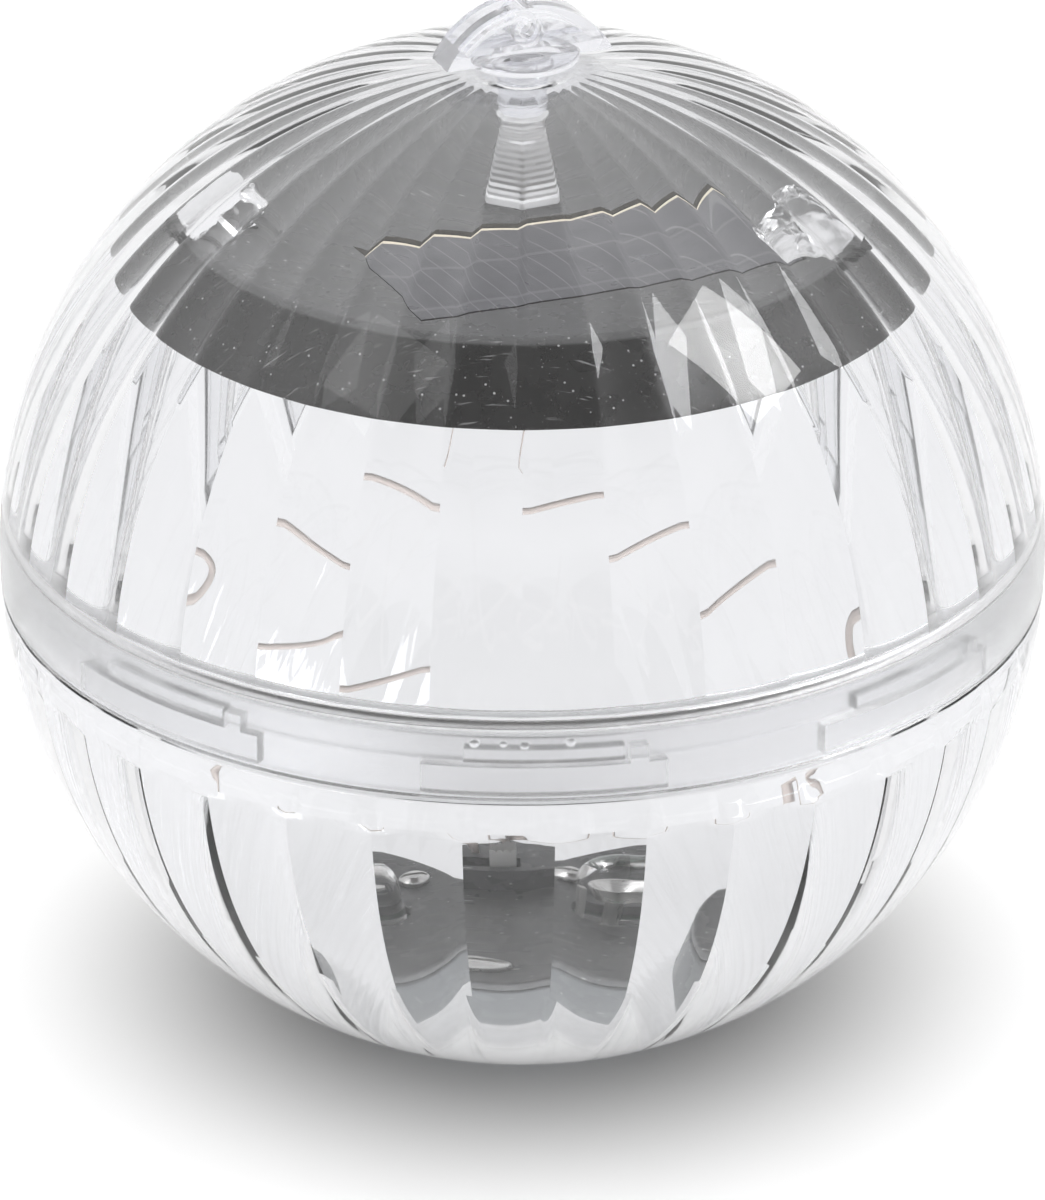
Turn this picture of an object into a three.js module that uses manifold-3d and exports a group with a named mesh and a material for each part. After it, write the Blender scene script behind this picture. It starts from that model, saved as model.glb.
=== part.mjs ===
// Floating solar pool light: a clear ball of two ribbed halves that lock with a bayonet.
// The upper half carries the hanger and the solar tray, the lower half the lamp unit.
// Millimetres, +Z up. The origin is the centre of the small flat that the ball stands on.
// Every height named "level" is measured from the centre of the ball.
import * as THREE from "three";
import { mergeVertices } from "three/addons/utils/BufferGeometryUtils.js";
import Module from "manifold-3d";

const wasm = await Module();
wasm.setup();

const BEYOND = 1; // how far a cutting tool runs past the face that it cuts

// ---------- Ball ----------
const BALL_RADIUS = 50;
const BASE_FLAT_RADIUS = 12;
const CENTRE_HEIGHT = Math.sqrt(BALL_RADIUS ** 2 - BASE_FLAT_RADIUS ** 2);
const INNER_RADIUS = 48.2; // of the dome's inside, at the valleys between two ribs
const RIB_COUNT = 36;
const RIB_DEPTH = 0.45; // at the equator; towards the pole it keeps the rib's curve the same
const RIB_REFERENCE_RADIUS = 47;
const MERIDIAN_STEPS = 8;

// ---------- Bayonet seam ----------
const SKIRT_BOTTOM = -2; // level of the upper dome's lower edge
const SEAM_GAP = 0.3;
const SKIRT_INNER_RADIUS = 48.6;
const NECK_RADIUS = 47.2;
const NECK_INNER_RADIUS = 45.4;
const NECK_TOP = 3.4;
const SEAL_CLEARANCE = 0.1;
const LEDGE_BOTTOM = 4.8; // level of the ledge that presses on the seal
const LEDGE_TOP = 5.6;
const LEDGE_RADIUS = 46;
const LUG_COUNT = 8;
const BLOCK_SWEEP = THREE.MathUtils.degToRad(26.5); // blocks inside the skirt
const BLOCK_START = THREE.MathUtils.degToRad(-100.9);
const BLOCK_TOP = 1;
const HOOK_SWEEP = THREE.MathUtils.degToRad(17.3); // hooks outside the neck, above the blocks
const HOOK_BOTTOM = 1.3;
const HOOK_TOP = 2.6;
const STOP_SWEEP = THREE.MathUtils.degToRad(2);
const STOP_GAP = THREE.MathUtils.degToRad(0.5);
const LUG_CLEARANCE = 0.3;
const LUG_ROOT = 0.3; // how far a lug is sunk into the wall that carries it
const BEAD_LEVEL = 1; // of a fine bead round the neck
const BEAD_SIZE = 0.2;
const NECK_SMOOTH_BOTTOM = -3; // the neck's wall flares out below this level
const LOWER_RIB_TOP = -6.2;
const RIB_END_LENGTH = 0.7;
const LOWER_RIB_PHASE = THREE.MathUtils.degToRad(3.5);

// ---------- Hanger and post ----------
const YAW = THREE.MathUtils.degToRad(21.4); // the hanger and the solar cell share this turn
const POLE_HOLE_RADIUS = 2.6;
const POLE_SMOOTH_RADIUS = 5.4;
const POLE_STEP = 0.4; // from the smooth land round the hole to the first ribs
const FLANGE_RADIUS = 5.3;
const FLANGE_BOTTOM = 50.05;
const FLANGE_TOP = 50.75;
const STEM_RADIUS = 2.25;
const STEM_BOTTOM = 44.2;
const TAB_LENGTH = 16.5;
const TAB_HEIGHT = 5.2;
const TAB_THICKNESS = 4;
const TAB_ROOT = 0.2; // how far the tab is sunk into the flange
const TAB_RIM = 1.15;
const TAB_WEB = 1.2;
const EYE_RADIUS = 0.88;
const EYE_BOSS_RADIUS = 1.5;
const EYE_BOSS_INSET = 0.3; // from each face of the tab
const EYE_HEIGHT = 2.5;
const POST_GAP = 0.3;
const POST_TOP_RADIUS = 2.2;
const POST_FOOT_RADIUS = 3;
const POST_FOOT_RING = 0.8; // height of the straight ring at the foot
const POST_BORE_RADIUS = 0.85;
const POST_BORE_DEPTH = 5.3;
const POST_SCREW_HEAD_RADIUS = 1.9;
const POST_SCREW_HEAD_HEIGHT = 1.2;
const POST_SCREW_SHANK_RADIUS = 0.65;
const SCREW_SLOT = 0.4; // width and depth of the slot in every screw's head
const SCREW_SLOT_SPAN = 1.5; // its length, in head radii

// ---------- Solar tray ----------
const TRAY_BOTTOM = 29;
const TRAY_TOP = 35.4;
const TRAY_SPHERE_RADIUS = 47.45; // the rim follows the inside of the dome
const TRAY_WALL = 1.65;
const TRAY_PLATE = 2.6;
const PANEL_LENGTH = 37;
const PANEL_DEPTH = 18;
const PANEL_OFFSET = -13.8; // the panel lies in front of the post
const PANEL_POCKET_GAP = 0.3;
const BOARD_THICKNESS = 1;
const BOARD_MARGIN = 1.2; // pale strip of the board behind the cell
const CELL_THICKNESS = 0.3;
const THIN_GAP = 0.05;
const LEAD_HOLE_RADIUS = 0.9;
const TRAY_BORE_RADIUS = 1; // for the post's screw
const GLUE_LEFT = 194; // degrees round the tray's edge
const GLUE_RIGHT = 338;
const GLUE_HALF_SIZE = [5.5, 3.6, 4.4];
const GLUE_INSET = 2.2; // of a drop's middle from the tray's edge
const GLUE_LIFT = 1; // of a drop's middle above the tray

// ---------- Lamp unit ----------
const PUCK_RADIUS = 14.5;
const PUCK_BOTTOM = -46.2;
const PUCK_FOOT_RADIUS = 12;
const PUCK_FOOT_RISE = 1;
const PAD_RADIUS = 9;
const PAD_GAP = 0.2; // between the pad and the valleys of the dome's floor
const PUCK_WALL = 1.2;
const PUCK_CHAMFER = 1; // between the floor and the wall, inside
const PUCK_FLOOR = -45.3;
const LID_BOTTOM = -41.1;
const LID_TOP = -40.2;
const LID_CHAMFER = 0.45;
const LID_HOLE_GAP = 0.3; // round the lamps and the switch
const BOARD_RADIUS = 9.7;
const BOARD_LEVEL = -42.3;
const LAMP_BOARD_THICKNESS = 0.8;
const BATTERY_RADIUS = 8;
const BATTERY_BOTTOM = -45.1;
const BATTERY_TOP = -42.7;
const BATTERY_CAP_INSET = 0.8;
const BATTERY_CAP_HEIGHT = 0.5;
const LED_RADIUS = 2.45;
const LED_OFFSET = 6.5;
const LED_TOP = -34.2;
const SCREW_COUNT = 3;
const SCREW_CIRCLE = 11.55;
const SCREW_BOSS_RADIUS = 1.5;
const SCREW_BOSS_GAP = 0.3; // under the lid
const BOSS_ROOT = 0.2; // how far a boss is sunk into the floor
const SCREW_BORE_RADIUS = 0.85;
const SCREW_BORE_FLOOR = 0.5; // above the base's floor
const SCREW_HOLE_RADIUS = 0.8;
const SCREW_SHANK_RADIUS = 0.55;
const SCREW_HEAD_RADIUS = 1.25;
const SCREW_HEAD_HEIGHT = 0.9;
const SCREW_END = -44.4;
const SWITCH_LENGTH = 8.4;
const SWITCH_DEPTH = 3.6;
const SWITCH_Y = 6;
const SWITCH_TOP = -38.2;
const SLOT_LENGTH = 4.4;
const SLOT_DEPTH = 1.8;
const SLOT_FLOOR = -39.4;
const SLIDER_LENGTH = 1.8;
const SLIDER_TRAVEL = 2;
const SLIDER_GAP = 0.2;
const SLIDER_BOTTOM = -39.1;
const SLIDER_TOP = -36.4;
const CONTACT_RADIUS = 5;
const CONTACT_GAP = 0.03;
const CONTACT_LENGTH = 12;
const CONTACT_WIDTH = 3;
const COMPONENT_RADIUS = 9.05; // small parts hang under the board, beside the coin cell
const DRIVER_CHIP_SIZE = [3, 1.6, 1.1];
const DIODE_SIZE = [2.2, 1.3, 0.9];
const COIL_RADIUS = 1;
const COIL_WINDING_RADIUS = 0.7;
const COIL_HEIGHT = 2;
const COIL_FLANGE = 0.4;

// ---------- Leads ----------
const LEAD_RADIUS = 0.3;
const LEAD_STEP = 2.5;
const LEAD_SIDES = 8;
const LEAD_SPACING = 2.4;
const LEAD_TOP_Y = -14;
const LEAD_FOOT_Y = 10;
const LEAD_DROP = 3; // how far a lead hangs straight below the tray
const LEAD_RISE = 2; // how far it stands straight out of the lid
const LEAD_PARTING = 32.4; // above this level a lead's end turns with the tray

// ---------- Materials ----------
function finish(colour, roughness, metalness = 0, opacity = 1) {
  return new THREE.MeshStandardMaterial({
    color: colour,
    roughness,
    metalness,
    opacity,
    transparent: opacity < 1,
  });
}
const clearPlastic = finish(0xf2f4f7, 0.05, 0, 0.25);
const clearGlue = finish(0xe9ebe6, 0.25, 0, 0.5);
const clearSilicone = finish(0xe4e6e8, 0.35, 0, 0.5);
const blackPlastic = finish(0x2b2a29, 0.35);
const cellBlue = finish(0x3d3f4b, 0.2);
const creamBoard = finish(0xe6ddc9, 0.6);
const greenBoard = finish(0x1f5a38, 0.5);
const steel = finish(0xb9bcc0, 0.3, 0.9);
const copperLead = finish(0xd9b6a4, 0.35);
const ledResin = finish(0xf0f1f0, 0.08, 0, 0.5);
const chipBlack = finish(0x151515, 0.6);
const whitePlastic = finish(0xeeeeea, 0.4);

// ---------- Solids and simple shapes ----------
function toSolid(geometry) {
  const source = geometry.index ? geometry.toNonIndexed() : geometry;
  const bare = new THREE.BufferGeometry();
  bare.setAttribute("position", source.getAttribute("position"));
  const merged = mergeVertices(bare, 1e-4);
  const mesh = new wasm.Mesh({
    numProp: 3,
    vertProperties: merged.attributes.position.array,
    triVerts: new Uint32Array(merged.index.array),
  });
  return new wasm.Manifold(mesh);
}

function toGeometry(solid) {
  const mesh = solid.getMesh();
  const geometry = new THREE.BufferGeometry();
  const points = new Float32Array(mesh.vertProperties);
  geometry.setAttribute("position", new THREE.BufferAttribute(points, 3));
  geometry.setIndex(new THREE.BufferAttribute(new Uint32Array(mesh.triVerts), 1));
  geometry.computeVertexNormals();
  return geometry;
}

function join(first, ...others) {
  return toGeometry(others.reduce((solid, other) => solid.add(toSolid(other)), toSolid(first)));
}

function cut(first, ...tools) {
  return toGeometry(tools.reduce((solid, tool) => solid.subtract(toSolid(tool)), toSolid(first)));
}

function overlap(first, second) {
  return toGeometry(toSolid(first).intersect(toSolid(second)));
}

function disc(radius, low, high, x = 0, y = 0, sides = 24) {
  const geometry = new THREE.CylinderGeometry(radius, radius, high - low, sides);
  geometry.rotateX(Math.PI / 2);
  return geometry.translate(x, y, (low + high) / 2);
}

function block(width, depth, low, high, x = 0, y = 0) {
  return new THREE.BoxGeometry(width, depth, high - low).translate(x, y, (low + high) / 2);
}

// A profile of [radius, level] points, from its top round the outside to its bottom.
function turned(profile, sides = 40) {
  const points = profile.map(([radius, level]) => new THREE.Vector2(radius, level));
  return new THREE.LatheGeometry(points.reverse(), sides).rotateX(Math.PI / 2);
}

function arcBlock(inner, outer, start, sweep, low, high) {
  const shape = new THREE.Shape();
  shape.absarc(0, 0, outer, start, start + sweep, false);
  shape.absarc(0, 0, inner, start + sweep, start, true);
  const options = { depth: high - low, bevelEnabled: false, curveSegments: 3 };
  return new THREE.ExtrudeGeometry(shape, options).translate(0, 0, low);
}

function around(count, makeOne) {
  return Array.from({ length: count }, (_, index) => makeOne((index * 2 * Math.PI) / count));
}

function levelOnSphere(radius, distance) {
  return Math.sqrt(radius ** 2 - distance ** 2);
}

// ---------- Ribbed domes ----------
// Points of a sphere's meridian between two levels, each with the depth of the rib there.
function meridian(radius, fromLevel, toLevel, ribbed) {
  const from = Math.asin(fromLevel / radius);
  const to = Math.asin(toLevel / radius);
  return Array.from({ length: MERIDIAN_STEPS + 1 }, (_, step) => {
    const latitude = from + ((to - from) * step) / MERIDIAN_STEPS;
    const r = radius * Math.cos(latitude);
    const depth = ribbed ? RIB_DEPTH * (r / RIB_REFERENCE_RADIUS) ** 2 : 0;
    return { r, level: radius * Math.sin(latitude), depth };
  });
}

function plain(r, level) {
  return { r, level, depth: 0 };
}

// Turns a section about the axis with one station on each rib's crest and one in each valley.
function ribbedTurn(section, phase, closed) {
  const stations = 2 * RIB_COUNT;
  const positions = [];
  for (let station = 0; station < stations; station += 1) {
    const angle = phase + (station * Math.PI) / RIB_COUNT;
    for (const { r, level, depth } of section) {
      const scale = station % 2 ? 1 - depth / Math.hypot(r, level) : 1;
      positions.push(scale * r * Math.cos(angle), scale * r * Math.sin(angle), scale * level);
    }
  }
  const size = section.length;
  const indices = [];
  for (let station = 0; station < stations; station += 1) {
    const here = station * size;
    const there = ((station + 1) % stations) * size;
    for (let step = 0; step < (closed ? size : size - 1); step += 1) {
      const next = (step + 1) % size;
      if (section[step].r > 0) indices.push(here + step, there + step, there + next);
      if (section[next].r > 0) indices.push(here + step, there + next, here + next);
    }
  }
  const geometry = new THREE.BufferGeometry();
  geometry.setAttribute("position", new THREE.Float32BufferAttribute(positions, 3));
  geometry.setIndex(indices);
  return geometry;
}

function upperDome() {
  const skirtOuter = levelOnSphere(BALL_RADIUS, SKIRT_BOTTOM);
  const poleOuter = levelOnSphere(BALL_RADIUS, POLE_HOLE_RADIUS);
  const poleInner = levelOnSphere(INNER_RADIUS, POLE_SMOOTH_RADIUS);
  const section = [
    ...meridian(BALL_RADIUS, SKIRT_BOTTOM, poleOuter, false),
    plain(POLE_HOLE_RADIUS, poleInner),
    plain(POLE_SMOOTH_RADIUS - POLE_STEP, poleInner),
    ...meridian(INNER_RADIUS, poleInner, LEDGE_TOP, true),
    plain(LEDGE_RADIUS, LEDGE_TOP),
    plain(LEDGE_RADIUS, LEDGE_BOTTOM),
    plain(SKIRT_INNER_RADIUS, LEDGE_BOTTOM),
    plain(SKIRT_INNER_RADIUS, SKIRT_BOTTOM),
  ];
  const inner = NECK_RADIUS + LUG_CLEARANCE;
  const outer = (SKIRT_INNER_RADIUS + skirtOuter) / 2;
  const blocks = around(LUG_COUNT, (turn) =>
    arcBlock(inner, outer, BLOCK_START + turn, BLOCK_SWEEP, SKIRT_BOTTOM, BLOCK_TOP),
  );
  const stopStart = BLOCK_START + (BLOCK_SWEEP + HOOK_SWEEP) / 2 + STOP_GAP;
  const stops = around(LUG_COUNT, (turn) =>
    arcBlock(inner, outer, stopStart + turn, STOP_SWEEP, BLOCK_TOP - LUG_ROOT, HOOK_TOP),
  );
  return join(ribbedTurn(section, 0, true), ...blocks, ...stops);
}

function lowerDome() {
  const neckBottom = SKIRT_BOTTOM - SEAM_GAP;
  const floor = -levelOnSphere(INNER_RADIUS, BASE_FLAT_RADIUS);
  const crest = levelOnSphere(INNER_RADIUS, LOWER_RIB_TOP) - RIB_DEPTH;
  const section = [
    plain(0, -CENTRE_HEIGHT),
    ...meridian(BALL_RADIUS, -CENTRE_HEIGHT, neckBottom, false),
    plain(NECK_RADIUS, neckBottom),
    plain(NECK_RADIUS, BEAD_LEVEL - BEAD_SIZE),
    plain(NECK_RADIUS + BEAD_SIZE, BEAD_LEVEL),
    plain(NECK_RADIUS, BEAD_LEVEL + BEAD_SIZE),
    plain(NECK_RADIUS, NECK_TOP),
    plain(NECK_INNER_RADIUS, NECK_TOP),
    plain(NECK_INNER_RADIUS, NECK_SMOOTH_BOTTOM),
    plain(crest, LOWER_RIB_TOP),
    ...meridian(INNER_RADIUS, LOWER_RIB_TOP - RIB_END_LENGTH, floor, true),
    plain(0, floor),
  ];
  const hookStart = BLOCK_START + (BLOCK_SWEEP - HOOK_SWEEP) / 2;
  const hooks = around(LUG_COUNT, (turn) =>
    arcBlock(
      NECK_RADIUS - LUG_ROOT,
      SKIRT_INNER_RADIUS - LUG_CLEARANCE,
      hookStart + turn,
      HOOK_SWEEP,
      HOOK_BOTTOM,
      HOOK_TOP,
    ),
  );
  return join(ribbedTurn(section, LOWER_RIB_PHASE, false), ...hooks);
}

function sealRing() {
  const low = NECK_TOP + SEAL_CLEARANCE;
  const high = LEDGE_BOTTOM - SEAL_CLEARANCE;
  const inner = NECK_INNER_RADIUS + SEAL_CLEARANCE;
  const outer = NECK_RADIUS - SEAL_CLEARANCE;
  const section = [[outer, high], [outer, low], [inner, low], [inner, high], [outer, high]];
  return turned(section);
}

// ---------- Hanger, post and its screw ----------
// A segment of a circle standing on its chord, in the plane of the tab.
function segmentShape(length, height, inset) {
  const radius = (length ** 2 / 4 + height ** 2) / (2 * height);
  const arcRadius = radius - inset;
  const centre = height - radius;
  const half = Math.acos((inset - centre) / arcRadius);
  const shape = new THREE.Shape();
  shape.absarc(0, centre, arcRadius, Math.PI / 2 - half, Math.PI / 2 + half, false);
  shape.closePath();
  return shape;
}

function standing(shape, thickness, offset) {
  const options = { depth: thickness, bevelEnabled: false, curveSegments: 14 };
  const geometry = new THREE.ExtrudeGeometry(shape, options);
  return geometry.rotateX(Math.PI / 2).translate(0, offset + thickness, FLANGE_TOP - TAB_ROOT);
}

function hanger() {
  const recess = (TAB_THICKNESS - TAB_WEB) / 2;
  const outline = segmentShape(TAB_LENGTH, TAB_HEIGHT, 0);
  const panel = segmentShape(TAB_LENGTH, TAB_HEIGHT, TAB_RIM);
  const web = cut(
    standing(outline, TAB_THICKNESS, -TAB_THICKNESS / 2),
    standing(panel, recess + BEYOND, -TAB_THICKNESS / 2 - BEYOND),
    standing(panel, recess + BEYOND, TAB_WEB / 2),
  );
  const eyeLevel = FLANGE_TOP + EYE_HEIGHT;
  const acrossTab = (radius, length) =>
    new THREE.CylinderGeometry(radius, radius, length, 16).translate(0, 0, eyeLevel);
  const boss = acrossTab(EYE_BOSS_RADIUS, TAB_THICKNESS - 2 * EYE_BOSS_INSET);
  const tab = cut(join(web, boss), acrossTab(EYE_RADIUS, TAB_THICKNESS + 2 * BEYOND));
  const flange = disc(FLANGE_RADIUS, FLANGE_BOTTOM, FLANGE_TOP, 0, 0, 32);
  const stem = disc(STEM_RADIUS, STEM_BOTTOM, FLANGE_BOTTOM + LUG_ROOT);
  return join(flange, stem, tab);
}

function trayPost() {
  const top = STEM_BOTTOM - POST_GAP;
  const foot = TRAY_TOP + POST_GAP;
  const bore = foot + POST_BORE_DEPTH;
  return turned(
    [
      [0, top],
      [POST_TOP_RADIUS, top],
      [POST_FOOT_RADIUS, foot + POST_FOOT_RING],
      [POST_FOOT_RADIUS, foot],
      [POST_BORE_RADIUS, foot],
      [POST_BORE_RADIUS, bore],
      [0, bore],
    ],
    24,
  );
}

// The shank points up or down from the head; the slot is on the other side.
function roundScrew(headRadius, headBottom, headTop, shankRadius, shankEnd) {
  const shank = disc(
    shankRadius,
    Math.min(shankEnd, headBottom),
    Math.max(shankEnd, headTop),
    0,
    0,
    12,
  );
  const span = headRadius * SCREW_SLOT_SPAN;
  const slot =
    shankEnd > headTop
      ? block(span, SCREW_SLOT, headBottom - BEYOND, headBottom + SCREW_SLOT)
      : block(span, SCREW_SLOT, headTop - SCREW_SLOT, headTop + BEYOND);
  return cut(join(disc(headRadius, headBottom, headTop, 0, 0, 16), shank), slot);
}

function postScrew() {
  const plateBottom = TRAY_TOP - TRAY_PLATE;
  const headTop = plateBottom - POST_GAP;
  const headBottom = headTop - POST_SCREW_HEAD_HEIGHT;
  const shankTop = TRAY_TOP + POST_BORE_DEPTH - POST_GAP;
  return roundScrew(POST_SCREW_HEAD_RADIUS, headBottom, headTop, POST_SCREW_SHANK_RADIUS, shankTop);
}

// ---------- Solar tray and panel ----------
function solarTray() {
  const innerSphere = TRAY_SPHERE_RADIUS - TRAY_WALL;
  const plateBottom = TRAY_TOP - TRAY_PLATE;
  const rimSteps = 4;
  const rim = Array.from({ length: rimSteps + 1 }, (_, step) => {
    const level = TRAY_TOP - ((TRAY_TOP - TRAY_BOTTOM) * step) / rimSteps;
    return [levelOnSphere(TRAY_SPHERE_RADIUS, level), level];
  });
  const section = [
    [TRAY_BORE_RADIUS, TRAY_TOP],
    ...rim,
    [levelOnSphere(innerSphere, TRAY_BOTTOM), TRAY_BOTTOM],
    [levelOnSphere(innerSphere, plateBottom), plateBottom],
    [TRAY_BORE_RADIUS, plateBottom],
    [TRAY_BORE_RADIUS, TRAY_TOP],
  ];
  const pocketFloor = TRAY_TOP - BOARD_THICKNESS - CELL_THICKNESS - 4 * THIN_GAP;
  const pocket = block(
    PANEL_LENGTH + 2 * PANEL_POCKET_GAP,
    PANEL_DEPTH + 2 * PANEL_POCKET_GAP,
    pocketFloor,
    TRAY_TOP + BEYOND,
    0,
    PANEL_OFFSET,
  ).rotateZ(YAW);
  const leadHoles = [-1, 1].map((side) =>
    disc(LEAD_HOLE_RADIUS, TRAY_BOTTOM, TRAY_TOP, (side * LEAD_SPACING) / 2, LEAD_TOP_Y, 12),
  );
  return cut(turned(section), pocket, ...leadHoles);
}

const boardTop = TRAY_TOP - CELL_THICKNESS - 2 * THIN_GAP;

function panelBoard() {
  return block(PANEL_LENGTH, PANEL_DEPTH, boardTop - BOARD_THICKNESS, boardTop, 0, PANEL_OFFSET);
}

function solarCell() {
  const depth = PANEL_DEPTH - BOARD_MARGIN - BOARD_MARGIN / 4;
  const y = PANEL_OFFSET - (BOARD_MARGIN * 3) / 8;
  const low = boardTop + THIN_GAP;
  return block(PANEL_LENGTH - BOARD_MARGIN / 2, depth, low, low + CELL_THICKNESS, 0, y);
}

// A drop of hot-melt glue that joins the tray's top edge to the dome.
function glueDrop(angle) {
  const drop = new THREE.SphereGeometry(1, 20, 14);
  drop.scale(...GLUE_HALF_SIZE);
  const edge = levelOnSphere(TRAY_SPHERE_RADIUS, TRAY_TOP);
  drop.translate(edge - GLUE_INSET, 0, TRAY_TOP + GLUE_LIFT);
  const room = new THREE.SphereGeometry(TRAY_SPHERE_RADIUS, 64, 48);
  const below = block(2 * edge, 2 * edge, TRAY_BOTTOM, TRAY_TOP + POST_GAP, edge, 0);
  return cut(overlap(drop, room), below).rotateZ(angle);
}

// ---------- Lamp unit ----------
function screwPlaces(makeOne) {
  return around(SCREW_COUNT, (turn) => {
    const angle = turn + Math.PI / 6;
    return makeOne(SCREW_CIRCLE * Math.cos(angle), SCREW_CIRCLE * Math.sin(angle));
  });
}

function lampBase() {
  const bottom = PUCK_BOTTOM;
  const top = LID_BOTTOM - THIN_GAP;
  const inner = PUCK_RADIUS - PUCK_WALL;
  const cup = turned([
    [0, PUCK_FLOOR],
    [inner - PUCK_CHAMFER, PUCK_FLOOR],
    [inner, PUCK_FLOOR + PUCK_CHAMFER / 2],
    [inner, top],
    [PUCK_RADIUS, top],
    [PUCK_RADIUS, bottom + PUCK_FOOT_RISE],
    [PUCK_FOOT_RADIUS, bottom],
    [0, bottom],
  ]);
  const bossTop = top - SCREW_BOSS_GAP;
  const boreFloor = PUCK_FLOOR + SCREW_BORE_FLOOR;
  const bosses = screwPlaces((x, y) => disc(SCREW_BOSS_RADIUS, PUCK_FLOOR - BOSS_ROOT, bossTop, x, y, 12));
  const bores = screwPlaces((x, y) => disc(SCREW_BORE_RADIUS, boreFloor, top + BEYOND, x, y, 10));
  return cut(join(cup, ...bosses), ...bores);
}

function lampLid() {
  const plate = turned(
    [
      [0, LID_TOP],
      [PUCK_RADIUS - LID_CHAMFER, LID_TOP],
      [PUCK_RADIUS, LID_TOP - LID_CHAMFER],
      [PUCK_RADIUS, LID_BOTTOM],
      [0, LID_BOTTOM],
    ],
    40,
  );
  const through = [LID_BOTTOM - BEYOND, LID_TOP + BEYOND];
  const ledHoles = [-1, 1].map((side) => disc(LED_RADIUS + LID_HOLE_GAP, ...through, side * LED_OFFSET, 0));
  const leadHoles = [-1, 1].map((side) =>
    disc(LEAD_HOLE_RADIUS, ...through, (side * LEAD_SPACING) / 2, LEAD_FOOT_Y, 12),
  );
  const window = block(
    SWITCH_LENGTH + 2 * LID_HOLE_GAP,
    SWITCH_DEPTH + 2 * LID_HOLE_GAP,
    ...through,
    0,
    SWITCH_Y,
  );
  const screwHoles = screwPlaces((x, y) => disc(SCREW_HOLE_RADIUS, ...through, x, y, 12));
  return cut(plate, ...ledHoles, ...leadHoles, window, ...screwHoles);
}

function lidScrew() {
  const headBottom = LID_TOP + THIN_GAP;
  const headTop = headBottom + SCREW_HEAD_HEIGHT;
  return roundScrew(SCREW_HEAD_RADIUS, headBottom, headTop, SCREW_SHANK_RADIUS, SCREW_END);
}

function lampBoard() {
  return disc(BOARD_RADIUS, BOARD_LEVEL, BOARD_LEVEL + LAMP_BOARD_THICKNESS, 0, 0, 32);
}

const boardFace = BOARD_LEVEL + LAMP_BOARD_THICKNESS + THIN_GAP;

// A round-nosed lamp with the small collar that it has at its foot.
function led() {
  const shoulder = LED_TOP - LED_RADIUS;
  const noseSteps = 4;
  const nose = Array.from({ length: noseSteps }, (_, step) => {
    const angle = ((noseSteps - step) * Math.PI) / (2 * noseSteps);
    return [LED_RADIUS * Math.cos(angle), shoulder + LED_RADIUS * Math.sin(angle)];
  });
  nose[0] = [0, LED_TOP];
  return turned([...nose, [LED_RADIUS, shoulder], [LED_RADIUS, boardFace], [0, boardFace]], 16);
}

function switchBody() {
  const body = block(SWITCH_LENGTH, SWITCH_DEPTH, boardFace, SWITCH_TOP, 0, SWITCH_Y);
  const slot = block(SLOT_LENGTH, SLOT_DEPTH, SLOT_FLOOR, SWITCH_TOP + BEYOND, 0, SWITCH_Y);
  return cut(body, slot);
}

function switchSlider() {
  const depth = SLOT_DEPTH - 2 * SLIDER_GAP;
  return block(SLIDER_LENGTH, depth, SLIDER_BOTTOM, SLIDER_TOP, -SLIDER_TRAVEL / 2, SWITCH_Y);
}

// A coin cell: a wide can with a slightly narrower cap on top.
function coinCell() {
  const step = BATTERY_TOP - BATTERY_CAP_HEIGHT;
  const cap = BATTERY_RADIUS - BATTERY_CAP_INSET;
  return turned([
    [0, BATTERY_TOP],
    [cap, BATTERY_TOP],
    [cap, step],
    [BATTERY_RADIUS, step],
    [BATTERY_RADIUS, BATTERY_BOTTOM],
    [0, BATTERY_BOTTOM],
  ]);
}

function lowerContact() {
  return disc(CONTACT_RADIUS, PUCK_FLOOR + CONTACT_GAP, BATTERY_BOTTOM - CONTACT_GAP);
}

function upperContact() {
  const low = BATTERY_TOP + THIN_GAP;
  const high = BOARD_LEVEL - THIN_GAP;
  const arms = join(
    block(CONTACT_LENGTH, CONTACT_WIDTH, low, (low + high) / 2),
    block(CONTACT_WIDTH, CONTACT_LENGTH, low, (low + high) / 2),
  );
  return join(arms, disc(CONTACT_WIDTH / 2, low, high));
}

function underBoard([width, depth, height]) {
  const high = BOARD_LEVEL - THIN_GAP;
  return block(width, depth, high - height, high, 0, -COMPONENT_RADIUS);
}

function coil() {
  const high = BOARD_LEVEL - THIN_GAP;
  const low = high - COIL_HEIGHT;
  return turned(
    [
      [0, high],
      [COIL_RADIUS, high],
      [COIL_RADIUS, high - COIL_FLANGE],
      [COIL_WINDING_RADIUS, high - COIL_FLANGE],
      [COIL_WINDING_RADIUS, low + COIL_FLANGE],
      [COIL_RADIUS, low + COIL_FLANGE],
      [COIL_RADIUS, low],
      [0, low],
    ],
    16,
  ).translate(0, COMPONENT_RADIUS, 0);
}

function adhesivePad() {
  const dome = -levelOnSphere(INNER_RADIUS, BASE_FLAT_RADIUS);
  return disc(PAD_RADIUS, dome + PAD_GAP, PUCK_BOTTOM - THIN_GAP, 0, 0, 36);
}

// ---------- Leads ----------
// The two leads hang from the tray in wide loose bows and go into the lamp unit's lid.
// Each is parted just under the tray, so that its short upper end can turn with the upper dome.
const leftBow = [
  [-3.5, -9, 20],
  [-6, 2, 8],
  [-12, 9, 1],
  [-20, 12, -6],
  [-27, 11, -9],
  [-25, 9, -14],
  [-17, 8, -17],
  [-9, 5, -21],
  [-2.5, -1, -27],
];
const rightBow = [
  [2, -8, 18],
  [-2, 4, 6],
  [-1, 11, 1],
  [8, 13, -4],
  [19, 13, -10],
  [27, 9, -14],
  [26, 5, -20],
  [16, 1, -24],
  [8, -4, -28],
];

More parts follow.
